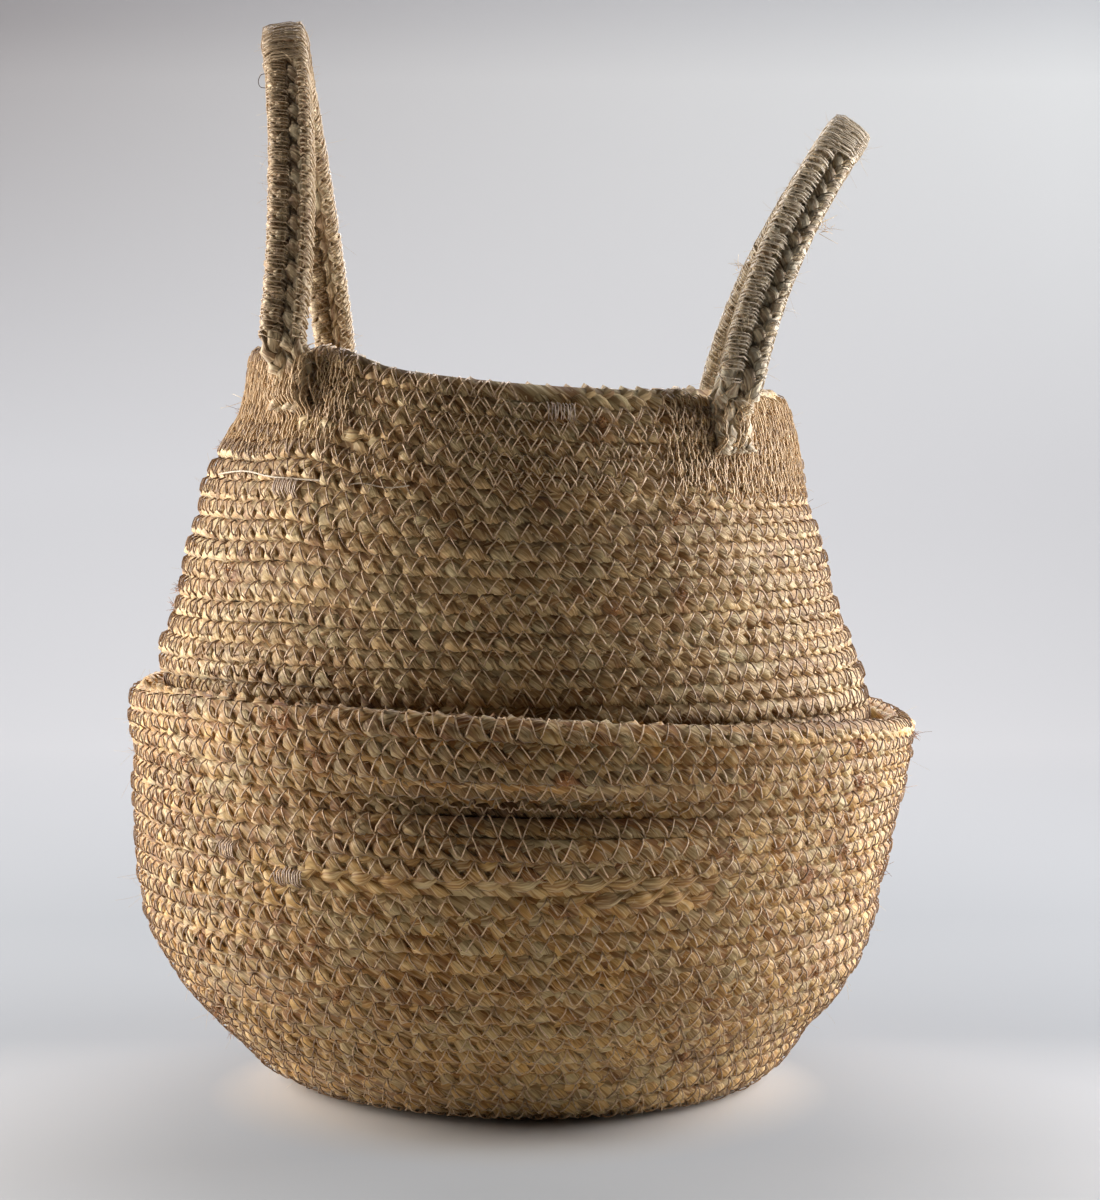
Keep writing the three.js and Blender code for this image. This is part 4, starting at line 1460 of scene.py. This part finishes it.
def makeTufts():
    for name, (body, place, way, hairs, length) in fuzzSettings["tufts"].items():
        roots = np.array(place) + luck.normal(0, 0.0014, (hairs, 3))
        outs = np.broadcast_to(unit(np.array(way)), (hairs, 3))
        lengths = length * luck.uniform(0.5, 1.3, hairs)
        fasten(hairMesh(name, roots, outs, lengths, fuzzSettings["tuftRadius"]), body)


makeWallFuzz()
makeSlubHairs()
makeStrapFuzz()
makeTufts()


# Floor and backdrop: one sheet of paper

paperSettings = {
    "plain": (238, 236, 234),
    "shade": (162, 159, 154),  # painted shadow: the paper's colour right in front of the basket
    # Painted light: topLeft to floor colour a glow that only the camera sees, darker at the top left, along
    # the top edge and on the near floor
    "topLeft": (170, 166, 167),
    "topRight": (236, 238, 240),
    "topEdge": (226, 226, 229),  # painted light: what the paper's glow is multiplied by along the top of the picture
    "back": (221, 221, 225),
    "floor": (170, 175, 182),
    # a point, and the two distances from it between which the painted shadow and the rendered contact shadow
    # fade out
    "shadeFade": ((0, -0.2, 0), 0.02, 0.27),
    "contactFade": ((0, -0.04, 0), 0.085, 0.12),
    # places between which the look changes: across, away, up, at the top edge, and from rendered light to
    # painted glow
    "acrossSpan": (-0.6, 0.6),
    "awaySpan": (0.35, 1.2),
    "upSpan": (0.25, 0.75),
    "edgeSpan": (0.69, 0.79),
    "seenSpan": (-0.16, 0.05),
    "seenShares": (0.5, 0.85),  # share of the look that is the paper's painted glow, in front and at the back
    # the sheet: start of the floor, start and radius of the bend, top and half width
    "floorStart": -1.6,
    "bendStart": 1.1,
    "bendRadius": 0.7,
    "top": 2.2,
    "halfWidth": 3.0,
}


def paperMaterial():
    # The camera sees mostly a painted glow, a soft gradient of light over the paper, and a share of the
    # rendered light and shadow on it
    settings = paperSettings
    material = bpy.data.materials.new("paper")
    material.use_nodes = True
    tree = material.node_tree
    shader = tree.nodes["Principled BSDF"]
    shader.inputs["Roughness"].default_value = 0.9
    shader.inputs["Specular IOR Level"].default_value = 0.1
    place = addNode(tree, "ShaderNodeTexCoord").outputs["Object"]
    x, y, z = addNode(tree, "ShaderNodeSeparateXYZ", Vector=place).outputs

    def colour(name):
        return screenColour(*settings[name])

    def fade(name):
        middle, *span = settings[name]
        apart = addNode(tree, "ShaderNodeVectorMath", {"operation": "DISTANCE"}, i0=place, i1=middle)
        return remap(tree, apart.outputs["Value"], *span)

    # Painted shadow: the paper is darker right in front of the basket
    base = mixColours(tree, "MIX", fade("shadeFade"), colour("shade"), colour("plain"))
    feed(tree, shader.inputs["Base Color"], base)
    # Painted light: the glow the camera sees, darker at the top left, along the top edge and on the near
    # floor
    across = remap(tree, x, *settings["acrossSpan"])
    top = mixColours(tree, "MIX", across, colour("topLeft"), colour("topRight"))
    top = mixColours(tree, "MULTIPLY", remap(tree, z, *settings["edgeSpan"]), top, colour("topEdge"))
    lower = mixColours(tree, "MIX", remap(tree, y, *settings["awaySpan"]), colour("floor"), colour("back"))
    seen = mixColours(tree, "MIX", remap(tree, z, *settings["upSpan"]), lower, top)
    glow = addNode(tree, "ShaderNodeEmission", Color=seen)
    own = remap(tree, y, *settings["seenSpan"], *settings["seenShares"])
    own = combine(tree, "MULTIPLY", own, fade("contactFade"))
    toCamera = addNode(tree, "ShaderNodeLightPath").outputs["Is Camera Ray"]
    share = combine(tree, "MULTIPLY", toCamera, own)
    mixed = addNode(tree, "ShaderNodeMixShader", i0=share, i1=shader.outputs[0], i2=glow.outputs[0])
    feed(tree, tree.nodes["Material Output"].inputs["Surface"], mixed.outputs[0])
    return material


def makeStage():
    # Floor that curves up into a backdrop: level, a quarter circle, then upright
    settings = paperSettings
    angle = np.linspace(0, np.pi / 2, 24)
    start, radius = settings["bendStart"], settings["bendRadius"]
    run = np.concatenate([[settings["floorStart"], 0], start + radius * np.sin(angle), [start + radius]])
    rise = np.concatenate([[0, 0], radius * (1 - np.cos(angle)), [settings["top"]]])
    side = settings["halfWidth"] * np.array([[-1], [1]])
    points = np.stack(np.broadcast_arrays(side, run, rise), -1).reshape(-1, 3)
    left = np.arange(len(run) - 1)
    quads = np.stack([left, left + len(run), left + len(run) + 1, left + 1], 1)
    mesh = bpy.data.meshes.new("backdrop")
    mesh.from_pydata(points.tolist(), [], quads.tolist())
    mesh.shade_smooth()
    mesh.materials.append(paperMaterial())
    sheet = bpy.data.objects.new("backdrop", mesh)
    bpy.context.scene.collection.objects.link(sheet)


makeStage()
print("scene done")
